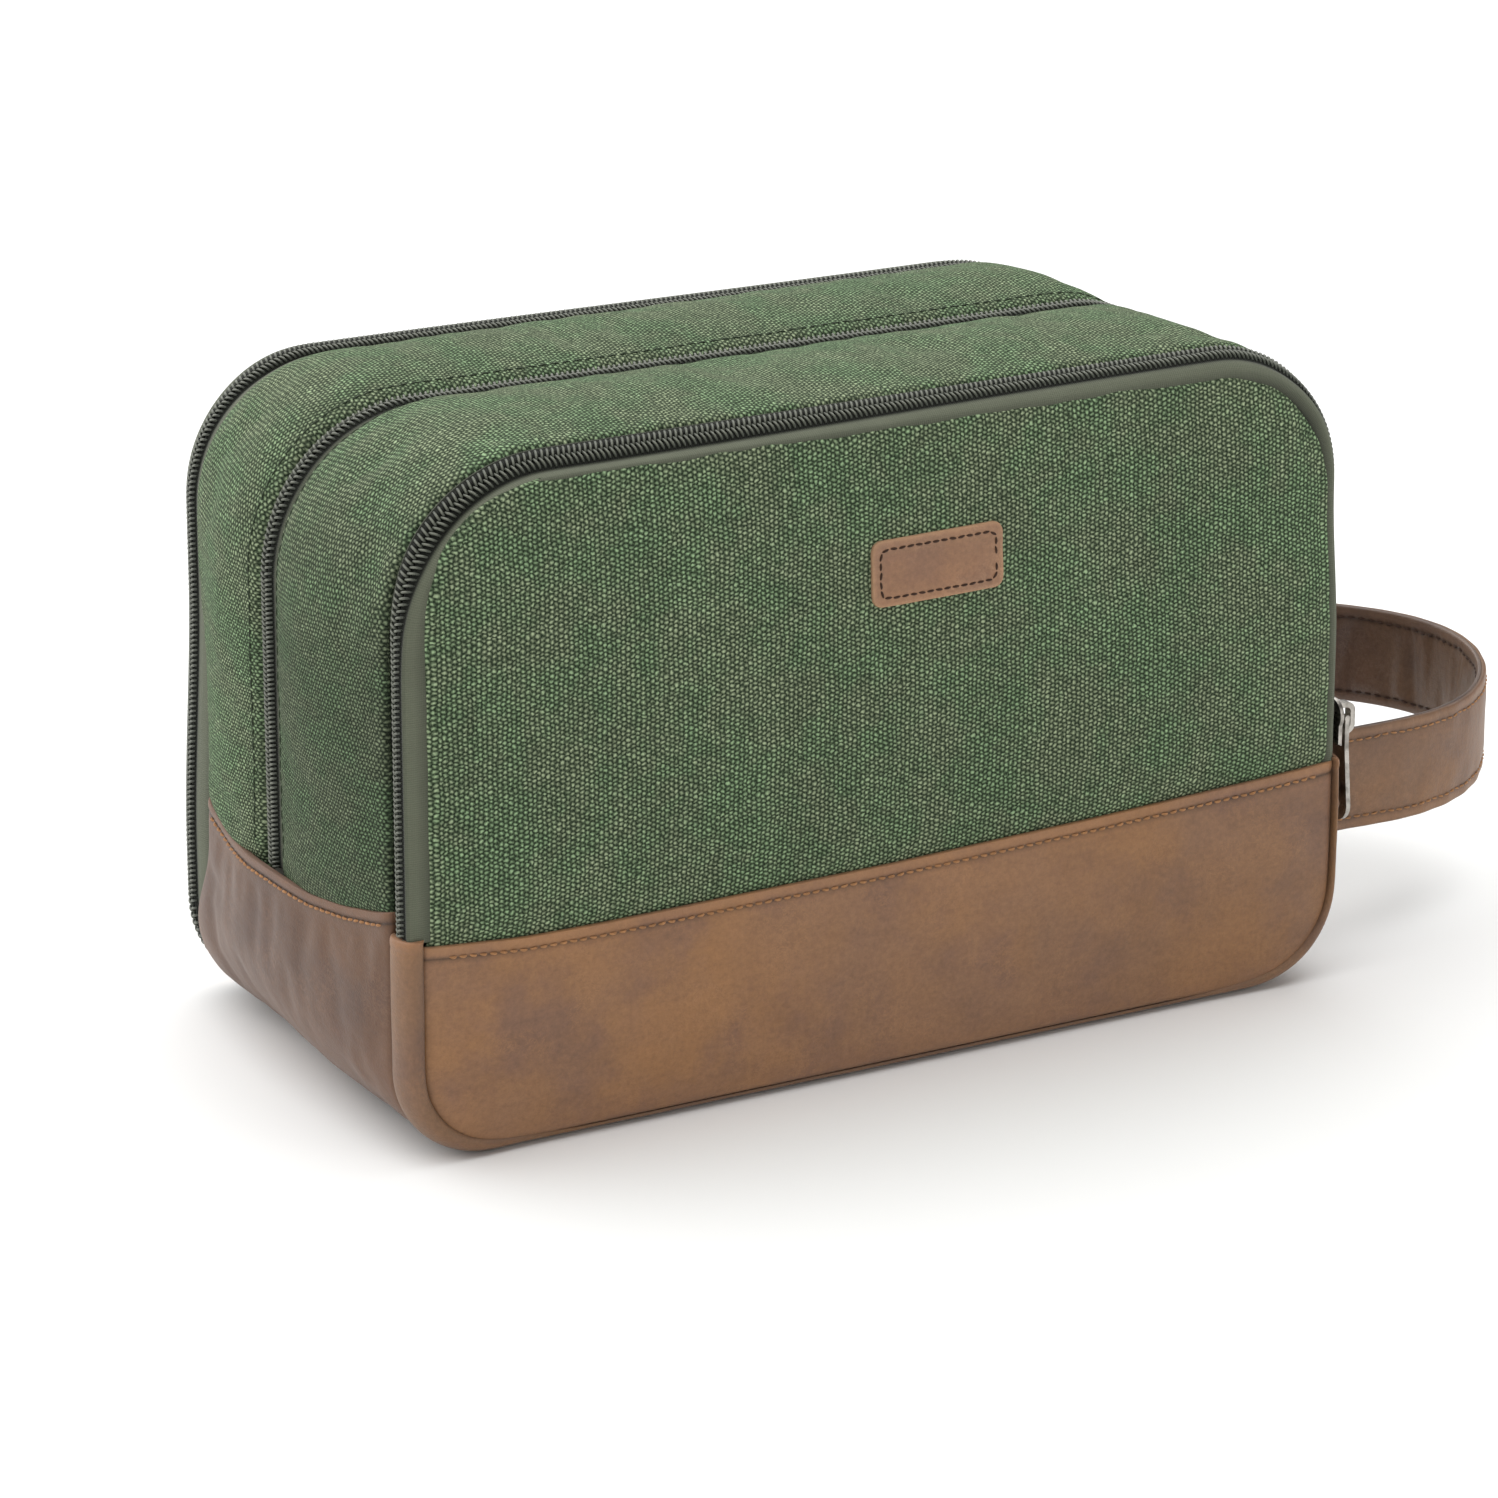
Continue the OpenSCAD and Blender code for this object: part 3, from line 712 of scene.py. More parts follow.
def side_leather():
    """One piece of leather up the left side, across the base and up the right side, with soft creases."""
    start = np.array([0, 0.4, 1.0, 1.9, 2.5, 2.9, 3.4, 4.4, 6, 8.5])
    half = np.concatenate([start, np.arange(12, 60, 3.2)])
    y_left_edge, y_side_rear, y_base_rear = -56.3, 41.6, 53.2
    columns = across(y_side_rear - y_left_edge, 2.9) / (y_side_rear - y_left_edge)
    side_length = float(side_s(-1, SEAM_Z, 0.0))
    rows_left = side_length - half[half < side_length - STATIONS[1]]
    base_rows = np.arange(STATIONS[1] - 4, -STATIONS[1] + 4, -6.0)
    rows = np.concatenate([rows_left, base_rows, -rows_left[::-1]])
    r, t = np.meshgrid(rows, columns, indexing="ij")
    corner = smooth((side_length - 12 - np.abs(r)) / 32)
    y = mix(y_left_edge, mix(y_side_rear, y_base_rear, corner), t)
    seam = side_seam_z(y)
    s_left = side_s(-1, seam, y)
    s_right = side_s(1, seam, y) - ROUND
    s = np.where(r > 0, r + (s_left - side_length) * smooth(r / side_length),
                 r + (s_right + side_length) * smooth(-r / side_length))
    above = np.where(r > 0, s_left - s, s - s_right)
    down = smooth((np.abs(r) - STATIONS[1]) / 14)
    fade = smooth(np.minimum(t, 1 - t) * 12)
    folds = wander(above, y, 8.5, 5, stretch=5.5) * 0.24 + wander(above, y, 21, 6, stretch=3) * 0.5
    folds = folds * decay(np.maximum(above - 3, 0), 34) * smooth((above - 1) / 6)
    inset = -0.45 - leather_edge(above) - down * (1.3 * np.sin(math.pi * t) + folds * fade)
    from_front, from_rear = y - y[:, :1], y[:, -1:] - y
    inset = inset + 1.5 * decay(from_front, 0.9) + 1.2 * decay(from_rear, 0.9)
    outer, _ = place(s, y, inset)
    inner, _ = place(s, y, np.minimum(inset + 1.5 + 1.2 * smooth(above / 6), 3.4))
    # Paler along the edges and at the low corners; painted shade along the stitch row
    edge = 0.45 * bell(above, 2.3) + 0.4 * decay(from_front, 2) + 0.4 * decay(from_rear, 2)
    low_corner = 0.35 * bell(np.abs(r) - STATIONS[1] - 14, 9)
    mark = np.minimum(edge + low_corner, 1) - stitch_shade(above)
    piece = shell("side_leather", outer, inner, s, y, mark, SHADED_SIDE_LEATHER)
    inflate(piece, s.shape, (9, 4), pressure=3, grow=0.010, cap=1.6)
    return subdivide(piece)


side_leather_piece = side_leather()
attach(side_leather_piece, "bag_base", "side_base_leather", "base_padding")


# ---- flat panels

def panel_limits(p, z):
    """x of the left and right edge of a panel outline at height z."""
    def bite(radius, depth):
        reach = np.clip(radius - depth, 0, radius)
        return radius - np.sqrt(np.maximum(radius ** 2 - reach ** 2, 0))
    left = p["left"] + np.maximum(bite(p["tl"], p["high"] - z), bite(p["bl"], z - p["low"]))
    right = p["right"] - np.maximum(bite(p["tr"], p["high"] - z), bite(p["br"], z - p["low"]))
    return left, right


def edge_distance(p, x, z):
    """Distance of a point of a panel from the panel's outline."""
    d = np.minimum(np.minimum(x - p["left"], p["right"] - x), np.minimum(p["high"] - z, z - p["low"]))
    for side, upper, radius in ((-1, 1, p["tl"]), (1, 1, p["tr"]), (-1, 0, p["bl"]), (1, 0, p["br"])):
        cx = p["left"] + radius if side < 0 else p["right"] - radius
        cz = p["high"] - radius if upper else p["low"] + radius
        beyond = ((x - cx) * side > 0) & ((z - cz) * (1 if upper else -1) > 0)
        d = np.where(beyond, radius - np.hypot(x - cx, z - cz), d)
    return np.maximum(d, 0)


def panel_grid(p, heights, step):
    """x and z of a grid of points that fills a panel outline."""
    width = p["right"] - p["left"]
    share = across(width, step) / width
    z, share = np.meshgrid(heights, share, indexing="ij")
    left, right = panel_limits(p, z)
    return mix(left, right, share), z


def arc_heights(p, radius):
    """Heights near the top of a panel, closer together where its corners turn in."""
    angle = np.radians(np.linspace(0, 78, 10))[1:]
    top = p["high"] - radius + radius * np.sin(angle)
    return np.concatenate([top[top < p["high"] - 3], p["high"] - np.array(EDGE_LINES)[::-1]])


def panel_canvas(name, p, face, seam, seed):
    """Padded canvas of the front (face -1) or rear (face +1) panel, tucked behind the leather below."""
    radius = max(p["tl"], p["tr"])
    low = np.array([-3.0, -2.4, -1.8, -1, 0.5, 2, 4, 7])
    middle = np.arange(SEAM_Z + 10.5, p["high"] - radius, 3.4)
    heights = np.concatenate([SEAM_Z + low, middle, arc_heights(p, radius)])
    x, z = panel_grid(p, heights, 3.6)
    z = z + (seam(x) - SEAM_Z) * smooth((112 - z) / 60)
    d = edge_distance(p, x, z)
    frayed = 0.45 * decay(d, 3) * smooth((z - SEAM_Z) / 15)
    x, z = x + frayed * wander(x, z, 14, seed + 2), z + frayed * wander(x, z, 14, seed + 3)
    above = z - seam(x)
    depth = 0.15 + 1.1 * (1 - decay(d, 16)) - 0.95 * decay(d, 0.65)
    depth = depth + 0.45 * wander(x, z, 70, seed) * smooth(d / 20)
    depth = mix(depth, -0.7, smooth((4 - above) / 6))
    thick = 0.7 + 2.1 * smooth(np.minimum(d, above + 1) / 9)
    outer = np.stack([x, face * (CANVAS_WALL + depth), z], -1)
    inner = np.stack([x, face * (CANVAS_WALL + depth - thick), z], -1)
    piece = shell(name, outer, inner, x, z, 0.0, CANVAS)
    inflate(piece, x.shape, (6, 4), pressure=4, grow=0.006, cap=1.2)
    return subdivide(piece)


def panel_leather(name, p, face, seam, seed):
    """Leather below the canvas of the front (face -1) or rear (face +1) panel."""
    low_z = p["low"]
    top = np.array([8, 6, 4.4, 3.4, 2.9, 2.5, 1.9, 1.0, 0.4, 0])
    bottom = np.array([0, 0.5, 1.3, 2.6, 4.6, 7.0, 9.8, 13])
    heights = np.concatenate([low_z + bottom, np.arange(low_z + 16.5, SEAM_Z - 9.5, 3.4), SEAM_Z - top])
    x, z = panel_grid(p, heights, 3.6)
    z = z + (seam(x) - SEAM_Z) * smooth((z - low_z) / 26)
    d = edge_distance(p, x, z)
    above = seam(x) - z
    depth = 0.25 + leather_edge(above) + 0.9 * (1 - decay(d, 10)) * (1 - 0.35 * smooth((8 - above) / 8))
    depth = depth - 1.5 * decay(d, 0.9)
    ripple = wander(x, z, 46, seed, stretch=1.6) * 0.4 + wander(x, z, 15, seed + 1, stretch=0.5) * 0.10
    depth = depth + ripple * smooth(d / 9) * smooth((above - 1) / 8)
    outer = np.stack([x, face * (LEATHER_WALL + depth), z], -1)
    inner = np.stack([x, face * (LEATHER_WALL + depth - 1.4), z], -1)
    # Paler near the top fold and a little in from the outline; painted shade along the stitch row and in the
    # groove right at the outline; a little darker towards the right
    mark = 0.5 * bell(above, 2.3) + 0.35 * decay(d, 2.2)
    mark = np.minimum(mark, 1) - stitch_shade(above) - 1.5 * decay(d, 0.5) - 0.22 * smooth((x - 20) / 60)
    piece = shell(name, outer, inner, x, z, mark, LEATHER)
    inflate(piece, x.shape, (9, 5), pressure=3, grow=0.006, cap=0.9)
    return subdivide(piece)


def rear_seam_z(x):
    """Height of the leather edge on the rear."""
    return SEAM_Z + 1.5 * (np.asarray(x) / 115) ** 2


front_canvas = panel_canvas("front_panel", FRONT_CANVAS, -1, front_seam_z, 31)
attach(front_canvas, "flap fold", "front_panel_canvas", "front_panel_padding")

front_leather = panel_leather("front_leather", FRONT_LEATHER, -1, front_seam_z, 41)
attach(front_leather, "bag_base", "front_panel_leather")

rear_canvas = panel_canvas("rear_panel", REAR_CANVAS, 1, rear_seam_z, 51)
attach(rear_canvas, "rear_flap", "rear_panel_canvas", "rear_panel_padding")

rear_leather = panel_leather("rear_leather", REAR_LEATHER, 1, rear_seam_z, 61)
attach(rear_leather, "rear_flap", "rear_panel_leather")


# ---- leather strip round the front edge

def edge_strip():
    """Soft strip that rounds the edge between the front leather and the sides and base."""
    top_left = float(side_s(-1, 54.0, -60.0))
    top_right = float(side_s(1, 56.0, -60.0)) - ROUND
    ends = np.array([0, 0.4, 1.0, 1.9, 2.5, 2.9, 3.4, 4.6, 7])
    middle = np.arange(top_left - 10.5, top_right + 9, -3.5)
    rows = np.concatenate([top_left - ends, middle, top_right + ends[::-1]])
    # y and inset of its section, from the seam with the front leather to the seam with the side leather
    section = np.array([(-63.7, 6.7), (-64.6, 6.5), (-65.5, 5.6), (-65.9, 4.0), (-65.7, 2.3), (-64.9, 0.8),
                        (-63.5, -0.3), (-61.6, -0.9), (-59.6, -1.0), (-58.0, -0.7), (-56.9, 0.0),
                        (-56.6, 1.2)])
    r, k = np.meshgrid(rows, np.arange(len(section)), indexing="ij")
    on_right = smooth((-r - STATIONS[1]) / 40)
    on_base = 1 - smooth((np.abs(r) - STATIONS[1] + 26) / 44)
    width = mix(mix(0.66, 0.25, on_right), 0.12, on_base)
    above = np.minimum(top_left - r, r - top_right)
    lift = leather_edge(above) - 0.7 * decay(above, 0.5)
    inset = np.where(section[k, 1] > 0, section[k, 1] * width, section[k, 1])
    y = section[k, 0] + 0.25 * wander(r, k * 2.0, 18, 71)
    y = mix(y, np.maximum(y, -64.0), on_base)
    outer, normal = place(r, y, inset + 0.3 * on_base - 0.6 * lift)
    outer[..., 1] -= 0.5 * lift * smooth((4 - k) / 4)
    y_in = np.clip(y, -64.0, -57.4)
    inner, _ = place(r, y_in, np.maximum(inset, 0.9) + 0.2)
    # Paler near its top ends and along the middle of its section; painted shade in the grooves along both
    # long edges
    mark = 0.7 * bell(above, 2.3) + 0.2 * bell(k - 5.0, 1.6)
    mark = mark - 1.2 * bell(k, 1.3) - 1.2 * bell(k - 11.0, 1.3)
    piece = shell("front_edge_piping", outer, inner, r, k * 1.6, mark, EDGE_LEATHER)
    return subdivide(piece)


attach(edge_strip(), "bag_base", "front_edge_strip")


# ---- zips

def front_chain(s):
    """y, inset and tilt of the middle of the front zip's chain."""
    top, right = topness(s), rightness(s)
    along_top = smooth((s - TOP_LEFT) / (TOP_RIGHT - TOP_LEFT))
    y = mix(mix(-60.3, -60.2, right), -58.8, top)
    inset = mix(mix(1.0, 0.9, right), mix(2.6, 1.4, along_top), top)
    tilt = mix(mix(-0.22, 0.0, right), mix(0.70, 0.32, along_top), smooth(1.3 * top))
    return y, inset, tilt


def mid_chain(s):
    return MID_ZIP_Y + 0 * s, mix(1.5, 0.9, rightness(s)) + 0 * s, 0 * s


def rear_chain(s):
    right = rightness(s)
    y = mix(55.5, 57.0, right)
    along_top = smooth((s - TOP_LEFT) / (TOP_RIGHT - TOP_LEFT))
    inset = mix(mix(1.5, mix(1.7, 2.9, along_top), topness(s)), 0.9, right)
    tilt = mix(-0.12, 0.0, right) + 0.34 * topness(s) ** 4
    return y, inset, tilt


def chain_frame(s, chain):
    """Middle of the chain with its directions: along it, across it towards the rear, and outward."""
    y, inset, tilt = chain(s)
    middle, normal = place(s, y, inset)
    along = np.gradient(middle, axis=0)
    along /= np.linalg.norm(along, axis=1, keepdims=True)
    rear = np.array([0.0, 1.0, 0.0])
    side = np.cos(tilt)[:, None] * rear + np.sin(tilt)[:, None] * normal
    side -= along * (side * along).sum(1, keepdims=True)
    side /= np.linalg.norm(side, axis=1, keepdims=True)
    up = np.cross(side, along)
    up *= np.sign((up * normal).sum(1, keepdims=True))
    return middle, along, side, up


def zip_range(chain, z_low):
    """The s of a zip's two ends, which are at height z_low."""
    y = float(chain(np.array([TOP_LEFT]))[0][0])
    return float(side_s(-1, z_low, y)), float(side_s(1, z_low, y))


def coil(name, chain, half, z_low):
    """Row of coil teeth on one half of a zip. Each tooth is a slanted, arched bar with rounded ends."""
    s_low, s_high = zip_range(chain, z_low)
    count = int((s_high - s_low) / TOOTH_PITCH)
    s = np.linspace(s_low + 0.5, s_high - 0.5, count) + (0.25 * TOOTH_PITCH * half)
    middle, along, side, up = chain_frame(s, chain)
    # across, up, slant along the chain, half thickness along the chain, half height
    bar = np.array([(-0.45, 0.15, -0.10, 0.20, 0.22), (-0.25, 0.62, -0.08, 0.44, 0.40),
                    (0.7, 1.00, 0.14, 0.47, 0.44), (1.7, 0.98, 0.46, 0.46, 0.44),
                    (2.6, 0.62, 0.72, 0.42, 0.42), (3.0, 0.10, 0.84, 0.30, 0.30)])
    bar = bar * (1.0, 1.0, 1.0, 0.9, 1.0) * TOOTH_SIZE
    ring = np.linspace(0, math.tau, 7, endpoint=False)
    a = bar[:, None, 2] + bar[:, None, 3] * np.cos(ring)
    b = bar[:, None, 0] + 0 * ring
    c = bar[:, None, 1] + bar[:, None, 4] * np.sin(ring) - 0.35
    shape = a.shape
    a, b, c = a.ravel(), b.ravel(), c.ravel()
    points = (middle[:, None] + a[None, :, None] * along[:, None] + half * b[None, :, None] * side[:, None]
              + c[None, :, None] * up[:, None])
    tooth, per = tube_faces(*shape)
    if half > 0:
        tooth = tooth[:, ::-1]
    faces = (tooth[None] + per * np.arange(count)[:, None, None]).reshape(-1, 4)
    surface = np.stack(np.broadcast_arrays(a + s[:, None], b, c), -1)
    # The mark: painted highlight on the top of each tooth
    crown = np.clip((c - 0.55) / 0.5, 0, 1)[None] * np.ones((count, 1))
    points = settle(points.reshape(-1, 3))
    return new_piece(name, points, faces.tolist(), surface.reshape(-1, 3), crown.ravel(), COIL)


def tape(name, chain, half, z_low, path):
    """Tape of one half of a zip, with the cord inside its coil. path gives the points beyond the chain."""
    under_chain = 2.9
    s_low, s_high = zip_range(chain, z_low)
    s = np.linspace(s_low, s_high, 130)
    middle, along, side, up = chain_frame(s, chain)
    inner_points, outer_points, marks = [], [], []
    cord = ((0.0, 0.5, 0.9), (0.15, 0.45, 0.9), (0.7, -0.1, 1.4), (1.5, -0.15, 1.4), (2.2, 0.3, 0.9),
            (under_chain - 0.2, 0.45, 0.6), (under_chain + 0.4, 0.35, 0.6))
    for reach, drop, thick in cord:
        point = middle + half * reach * side - drop * up
        outer_points.append(point)
        inner_points.append(point - thick * up)
        # Painted shade: full under the chain, weaker just beyond it
        marks.append(1.0 if reach < under_chain + 0.2 else 0.35)
    last = outer_points[-1]
    for point, inward, mark in path(s, last):
        outer_points.append(point)
        inner_points.append(point + 0.6 * inward)
        marks.append(mark)
    outer, inner = np.stack(outer_points, 1), np.stack(inner_points, 1)
    steps = np.linalg.norm(np.diff(outer, axis=1), axis=2)
    v = np.concatenate([np.zeros((len(s), 1)), np.cumsum(steps, 1)], 1)
    marks = np.broadcast_to(np.array(marks), v.shape)
    piece = shell(name, outer, inner, s[:, None] + 0 * v, v, marks, TAPE)
    return subdivide(piece)


def face_path(face, edge):
    """Tape that turns from the chain onto the front or rear face and ends under the canvas there."""
    def path(s, last):
        under, _ = place(s, face * TAPE_WALL, edge(s) + 2.5)
        lip, normal = place(s, face * (TAPE_WALL + 0.25), edge(s) - 0.1)
        inward = np.array([0.0, -face, 0.0]) + 0 * lip
        push = np.array([0.0, face, 0.0]) * 0.8 + normal * 0.6
        span = np.linalg.norm(lip - last, axis=1, keepdims=True)
        first = mix(last, lip, 0.22) + push * np.minimum(0.13 * span, 0.75)
        second = mix(last, lip, 0.6) + push * np.minimum(0.09 * span, 0.5)
        turned = (inward - normal) * 0.7
        # The last two marks paint shade where the tape goes under the canvas edge
        return [(first, turned, 0.0), (second, inward, 0.0), (lip, inward, 0.3), (under, inward, 0.8)]
    return path


def wall_path(points):
    """Tape that stays on the side wall. points gives the y, inset and mark of each point beyond the chain;
    the mark is painted shade where the tape goes under the cloth.
    """
    def path(s, last):
        made = []
        for y, inset, mark in points(s):
            point, normal = place(s, y, inset)
            made.append((point, -normal, mark))
        return made
    return path


def front_canvas_inset(s):
    """Inset of the front canvas edge: wide tape at the left and top, narrow at the right."""
    return mix(mix(5.5, 5.7, topness(s)), 2.9, rightness(s))


def rear_canvas_inset(s):
    return mix(5.2, 5.1, rightness(s))


FRONT_LOW, MID_LOW, REAR_LOW = 53.0, 51.5, 15.0    # height of the zips' ends

# Zip and half: chain, direction from the chain, lowest height, body, and the tape's way beyond the chain
ZIP_HALVES = {
    ("front", "rear"): (front_chain, 1, FRONT_LOW, "front_section", wall_path(
        lambda s: [(front_chain(s)[0] + 4.6, 2.2, 0.6), (-51.0, 3.0, 1.0)])),
    ("front", "front"): (front_chain, -1, FRONT_LOW, "front_flap", face_path(-1, front_canvas_inset)),
    ("mid", "front"): (mid_chain, -1, MID_LOW, "section fold", wall_path(
        lambda s: [(-3.4, 2.8, 0.8), (-7.0, 3.2, 1.0)])),
    ("mid", "rear"): (mid_chain, 1, MID_LOW, "bag_base", wall_path(
        lambda s: [(7.4, 2.8, 0.8), (11.0, 3.2, 1.0)])),
    ("rear", "front"): (rear_chain, -1, REAR_LOW, "bag_base", wall_path(
        lambda s: [(rear_chain(s)[0] - 5.6, rear_chain(s)[1] - 0.5, 0.0),
                   (mix(47.2, 49.6, topness(s)), rear_chain(s)[1] - 0.1, 0.0),
                   (44.6, 2.0, 0.4), (42.0, 2.8, 1.0)])),
    ("rear", "rear"): (rear_chain, 1, REAR_LOW, "rear_flap", face_path(1, rear_canvas_inset)),
}

for (zip_name, side), (chain, half, z_low, body, _) in ZIP_HALVES.items():
    teeth = coil(f"{zip_name}_zip_teeth_{side}", chain, half, z_low)
    attach(teeth, body, f"{zip_name}_zip_coil_{side}")

for (zip_name, side), (chain, half, z_low, body, path) in ZIP_HALVES.items():
    band = tape(f"{zip_name}_zip_band_{side}", chain, half, z_low, path)
    attach(band, body, f"{zip_name}_zip_tape_{side}")


# ---- stitches

def stitches(name, line, tree, pitch, length, radius, material, slot, rise=0.35, seed=0):
    """Row of short threads along a line of points, laid on the nearest surface and dipping at both ends.

    pitch is from stitch to stitch, length and radius are a thread's, and rise how far it stands out."""
    rng = np.random.RandomState(seed)
    line = settle(line)
    steps = np.linalg.norm(np.diff(line, axis=0), axis=1)
    walked = np.concatenate([[0], np.cumsum(steps)])
    count = int(walked[-1] / pitch)
    rings, sides = 6, 6
    stations = np.linspace(-0.5, 0.5, rings)
    ring = np.linspace(0, math.tau, sides, endpoint=False)
    points, surface = [], []
    for i in range(count):
        centre = (i + 0.5) * pitch
        at = centre + stations * length
        path = np.stack([np.interp(at, walked, line[:, k]) for k in range(3)], 1)
        found = [tree.find_nearest(Vector(p * MM)) for p in path[[0, -1]]]
        spots = np.array([np.array(f[0]) for f in found]) / MM
        normal = np.array(found[0][1] + found[1][1])
        normal /= np.linalg.norm(normal)
        along = spots[1] - spots[0]
        along /= np.linalg.norm(along)
        middle = spots.mean(0)
        wide = np.cross(normal, along)
        lean = rng.uniform(-0.14, 0.14) * length
        for f in stations:
            thin = math.sqrt(max(0.0, 1 - (2 * f) ** 2 * 0.82))
            height = radius * (2 * rise * (1 - (2 * f) ** 2 * 1.6))
            core = middle + along * f * length + normal * height + wide * lean * f
            for angle in ring:
                points.append(core + radius * thin * (wide * math.cos(angle) + normal * math.sin(angle)))
                surface.append((centre + f * length, angle, i * 0.37))
    thread, per = tube_faces(rings, sides)
    faces = (thread[None] + per * np.arange(count)[:, None, None]).reshape(-1, 4).tolist()
    ends = np.arange(sides)[::-1], np.arange(per - sides, per)
    for i in range(count):
        faces += [(per * i + end).tolist() for end in ends]
    return new_piece(name, points, faces, surface, None, material)


SEAM_ROW = (2.5, 1.9, 0.35, TAN_THREAD, "leather")

for row_name, leather, reach, y, seam_z, seed, body in (
        ("front", front_leather, (-114.5, 119.5, 120), -65.8, front_seam_z, 1, "bag_base"),
        ("rear", rear_leather, (-111.0, 113.0, 110), 65.8, rear_seam_z, 2, "rear_flap")):
    x = np.linspace(*reach)
    row = np.stack([x, np.full_like(x, y), seam_z(x) - STITCH_DROP], 1)
    attach(stitches(f"{row_name}_seam_stitches", row, surface_tree(leather), *SEAM_ROW, seed=seed), body)

side_tree = surface_tree(side_leather_piece)
for row_name, side in (("left", -1), ("right", 1)):
    y = np.linspace(-53.5, 39.0, 60)
    row, _ = place(side_s(side, side_seam_z(y) - STITCH_DROP, y), y, -1.5)
    attach(stitches(f"{row_name}_seam_stitches", row, side_tree, *SEAM_ROW, seed=3), "bag_base")

for row_name, gusset_piece, y, body in (
        ("front", front_gusset, FRONT_GUSSET_Y[1][0] - ZIP_STITCH_INSET, "section fold"),
        ("rear", rear_gusset, REAR_GUSSET_Y[0] + ZIP_STITCH_INSET, "bag_base")):
    s = np.linspace(float(side_s(-1, 56.0, y)), float(side_s(1, 56.0, y)), 300)
    row, _ = place(s, y, -1.0)
    attach(stitches(f"{row_name}_zip_stitches", row, surface_tree(gusset_piece), 3.0, 2.5, 0.24, GREEN_THREAD,
                    "canvas", rise=0.2, seed=5), body)


# ---- label

LABEL = dict(width=35.0, height=15.6, x=10.2, z=121.4, lean=0.018, corner=2.6, thick=1.15)


def rounded_loop(a, b, corner):
    """Closed line round a rectangle of half sizes a and b with round corners."""
    turn = np.linspace(0, math.tau, 160, endpoint=False)
    reach = np.stack([np.cos(turn), np.sin(turn)], 1)
    scale = (np.array((a, b)) / np.maximum(np.abs(reach), 1e-6)).min(1)
    box = reach * scale[:, None]
    centre = np.array((a - corner, b - corner))
    away = np.abs(box) - centre
    bent = np.sign(reach) * centre + np.sign(box) * away * corner / np.linalg.norm(away, axis=1)[:, None]
    loop = np.where((away > 0).all(1)[:, None], bent, box)
    return np.concatenate([loop, loop[:1]])


def label():
    """Blank leather label with rounded corners, laid on the canvas and stitched round."""
    canvas_tree = surface_tree(front_canvas)
    w, h, radius = LABEL["width"], LABEL["height"], LABEL["corner"]
    outline = dict(left=-w / 2, right=w / 2, low=-h / 2, high=h / 2, **{corner: radius for corner in CORNERS})
    edge = (0.0, 0.25, 0.6, 1.1, 1.8, 2.6)
    columns = across(w, 1.1, edge) / w
    rows = across(h, 1.1, edge) - h / 2
    z, share = np.meshgrid(rows, columns, indexing="ij")
    left, right = panel_limits(outline, z)
    x = mix(left, right, share)
    d = edge_distance(outline, x, z)
    lean_cos, lean_sin = math.cos(LABEL["lean"]), math.sin(LABEL["lean"])
    world_x = LABEL["x"] + x * lean_cos - z * lean_sin
    world_z = LABEL["z"] + x * lean_sin + z * lean_cos
    ground = np.zeros_like(x)
    for index in np.ndindex(x.shape):
        origin = Vector((world_x[index] * MM, -0.09, world_z[index] * MM))
        ground[index] = canvas_tree.ray_cast(origin, Vector((0, 1, 0)))[0].y / MM
    ground = ground.mean() + (ground - ground.mean()) * 0.8
    stitch_inset = 2.1
    dent = 0.28 * bell(d - stitch_inset, 0.45)
    rise = LABEL["thick"] - 0.5 * decay(d, 0.28) - dent + 0.10 * wander(x, z, 9, 81)
    outer = np.stack([world_x, ground - rise, world_z], -1)
    inner = np.stack([world_x, ground + 0.1, world_z], -1)
    mark = np.minimum(1.2 * decay(d, 0.5) + 0.25 * bell(d - 2.0, 0.8), 1)
    piece = shell("label", outer, inner, x, z, mark, LABEL_LEATHER)
    subdivide(piece, 1)
    attach(piece, "front_flap", "label_patch")
    corner = max(radius - stitch_inset + 0.9, 0.8)
    along_x, along_z = rounded_loop(w / 2 - stitch_inset, h / 2 - stitch_inset, corner).T
    line = np.stack([LABEL["x"] + along_x - along_z * LABEL["lean"],
                     ground.mean() - LABEL["thick"] + 0 * along_x,
                     LABEL["z"] + along_z + along_x * LABEL["lean"]], 1)
    attach(stitches("label_stitches", line, surface_tree(piece), 2.2, 1.8, 0.30, DARK_THREAD, "label_leather",
                    rise=0.22, seed=4), "front_flap")


label()


# ---- wrist strap

STRAP = dict(wall_x=124.2, bow_x=148.0, y=0.75, reach=58.0, half=50.25, z=46.0, width=25.6, sag=3.3)


def strap_sag(y):
    """The front leg hangs a little lower than the rear one."""
    return STRAP["sag"] * (1 - smooth((y + 50) / 75))


def strap_path():
    """Outer line of the strap from above, with its outward directions: front leg, bow, rear leg."""
    leg = np.linspace(STRAP["wall_x"], STRAP["bow_x"], 14)[:-1]
    turn = np.radians(np.linspace(-90, 90, 150))
    front = np.stack([leg, np.full_like(leg, STRAP["y"] - STRAP["half"])], 1)
    bow = np.stack([STRAP["bow_x"] + STRAP["reach"] * np.cos(turn),
                    STRAP["y"] + STRAP["half"] * np.sin(turn)], 1)
    rear = np.stack([leg[::-1], np.full_like(leg, STRAP["y"] + STRAP["half"])], 1)
    line = np.concatenate([front, bow, rear])
    along = np.gradient(line, axis=0)
    along /= np.linalg.norm(along, axis=1, keepdims=True)
    outward = np.stack([along[:, 1], -along[:, 0]], 1)
    walked = np.concatenate([[0], np.cumsum(np.linalg.norm(np.diff(line, axis=0), axis=1))])
    return line, outward, walked


def strap_wave(u, v):
    """How far the strap wanders up and down along its run."""
    return 0.5 * wander(u, v, 90, 91)


def strap_edge(v):
    """Distance from the strap's nearer long edge."""
    return STRAP["width"] / 2 - np.abs(v)


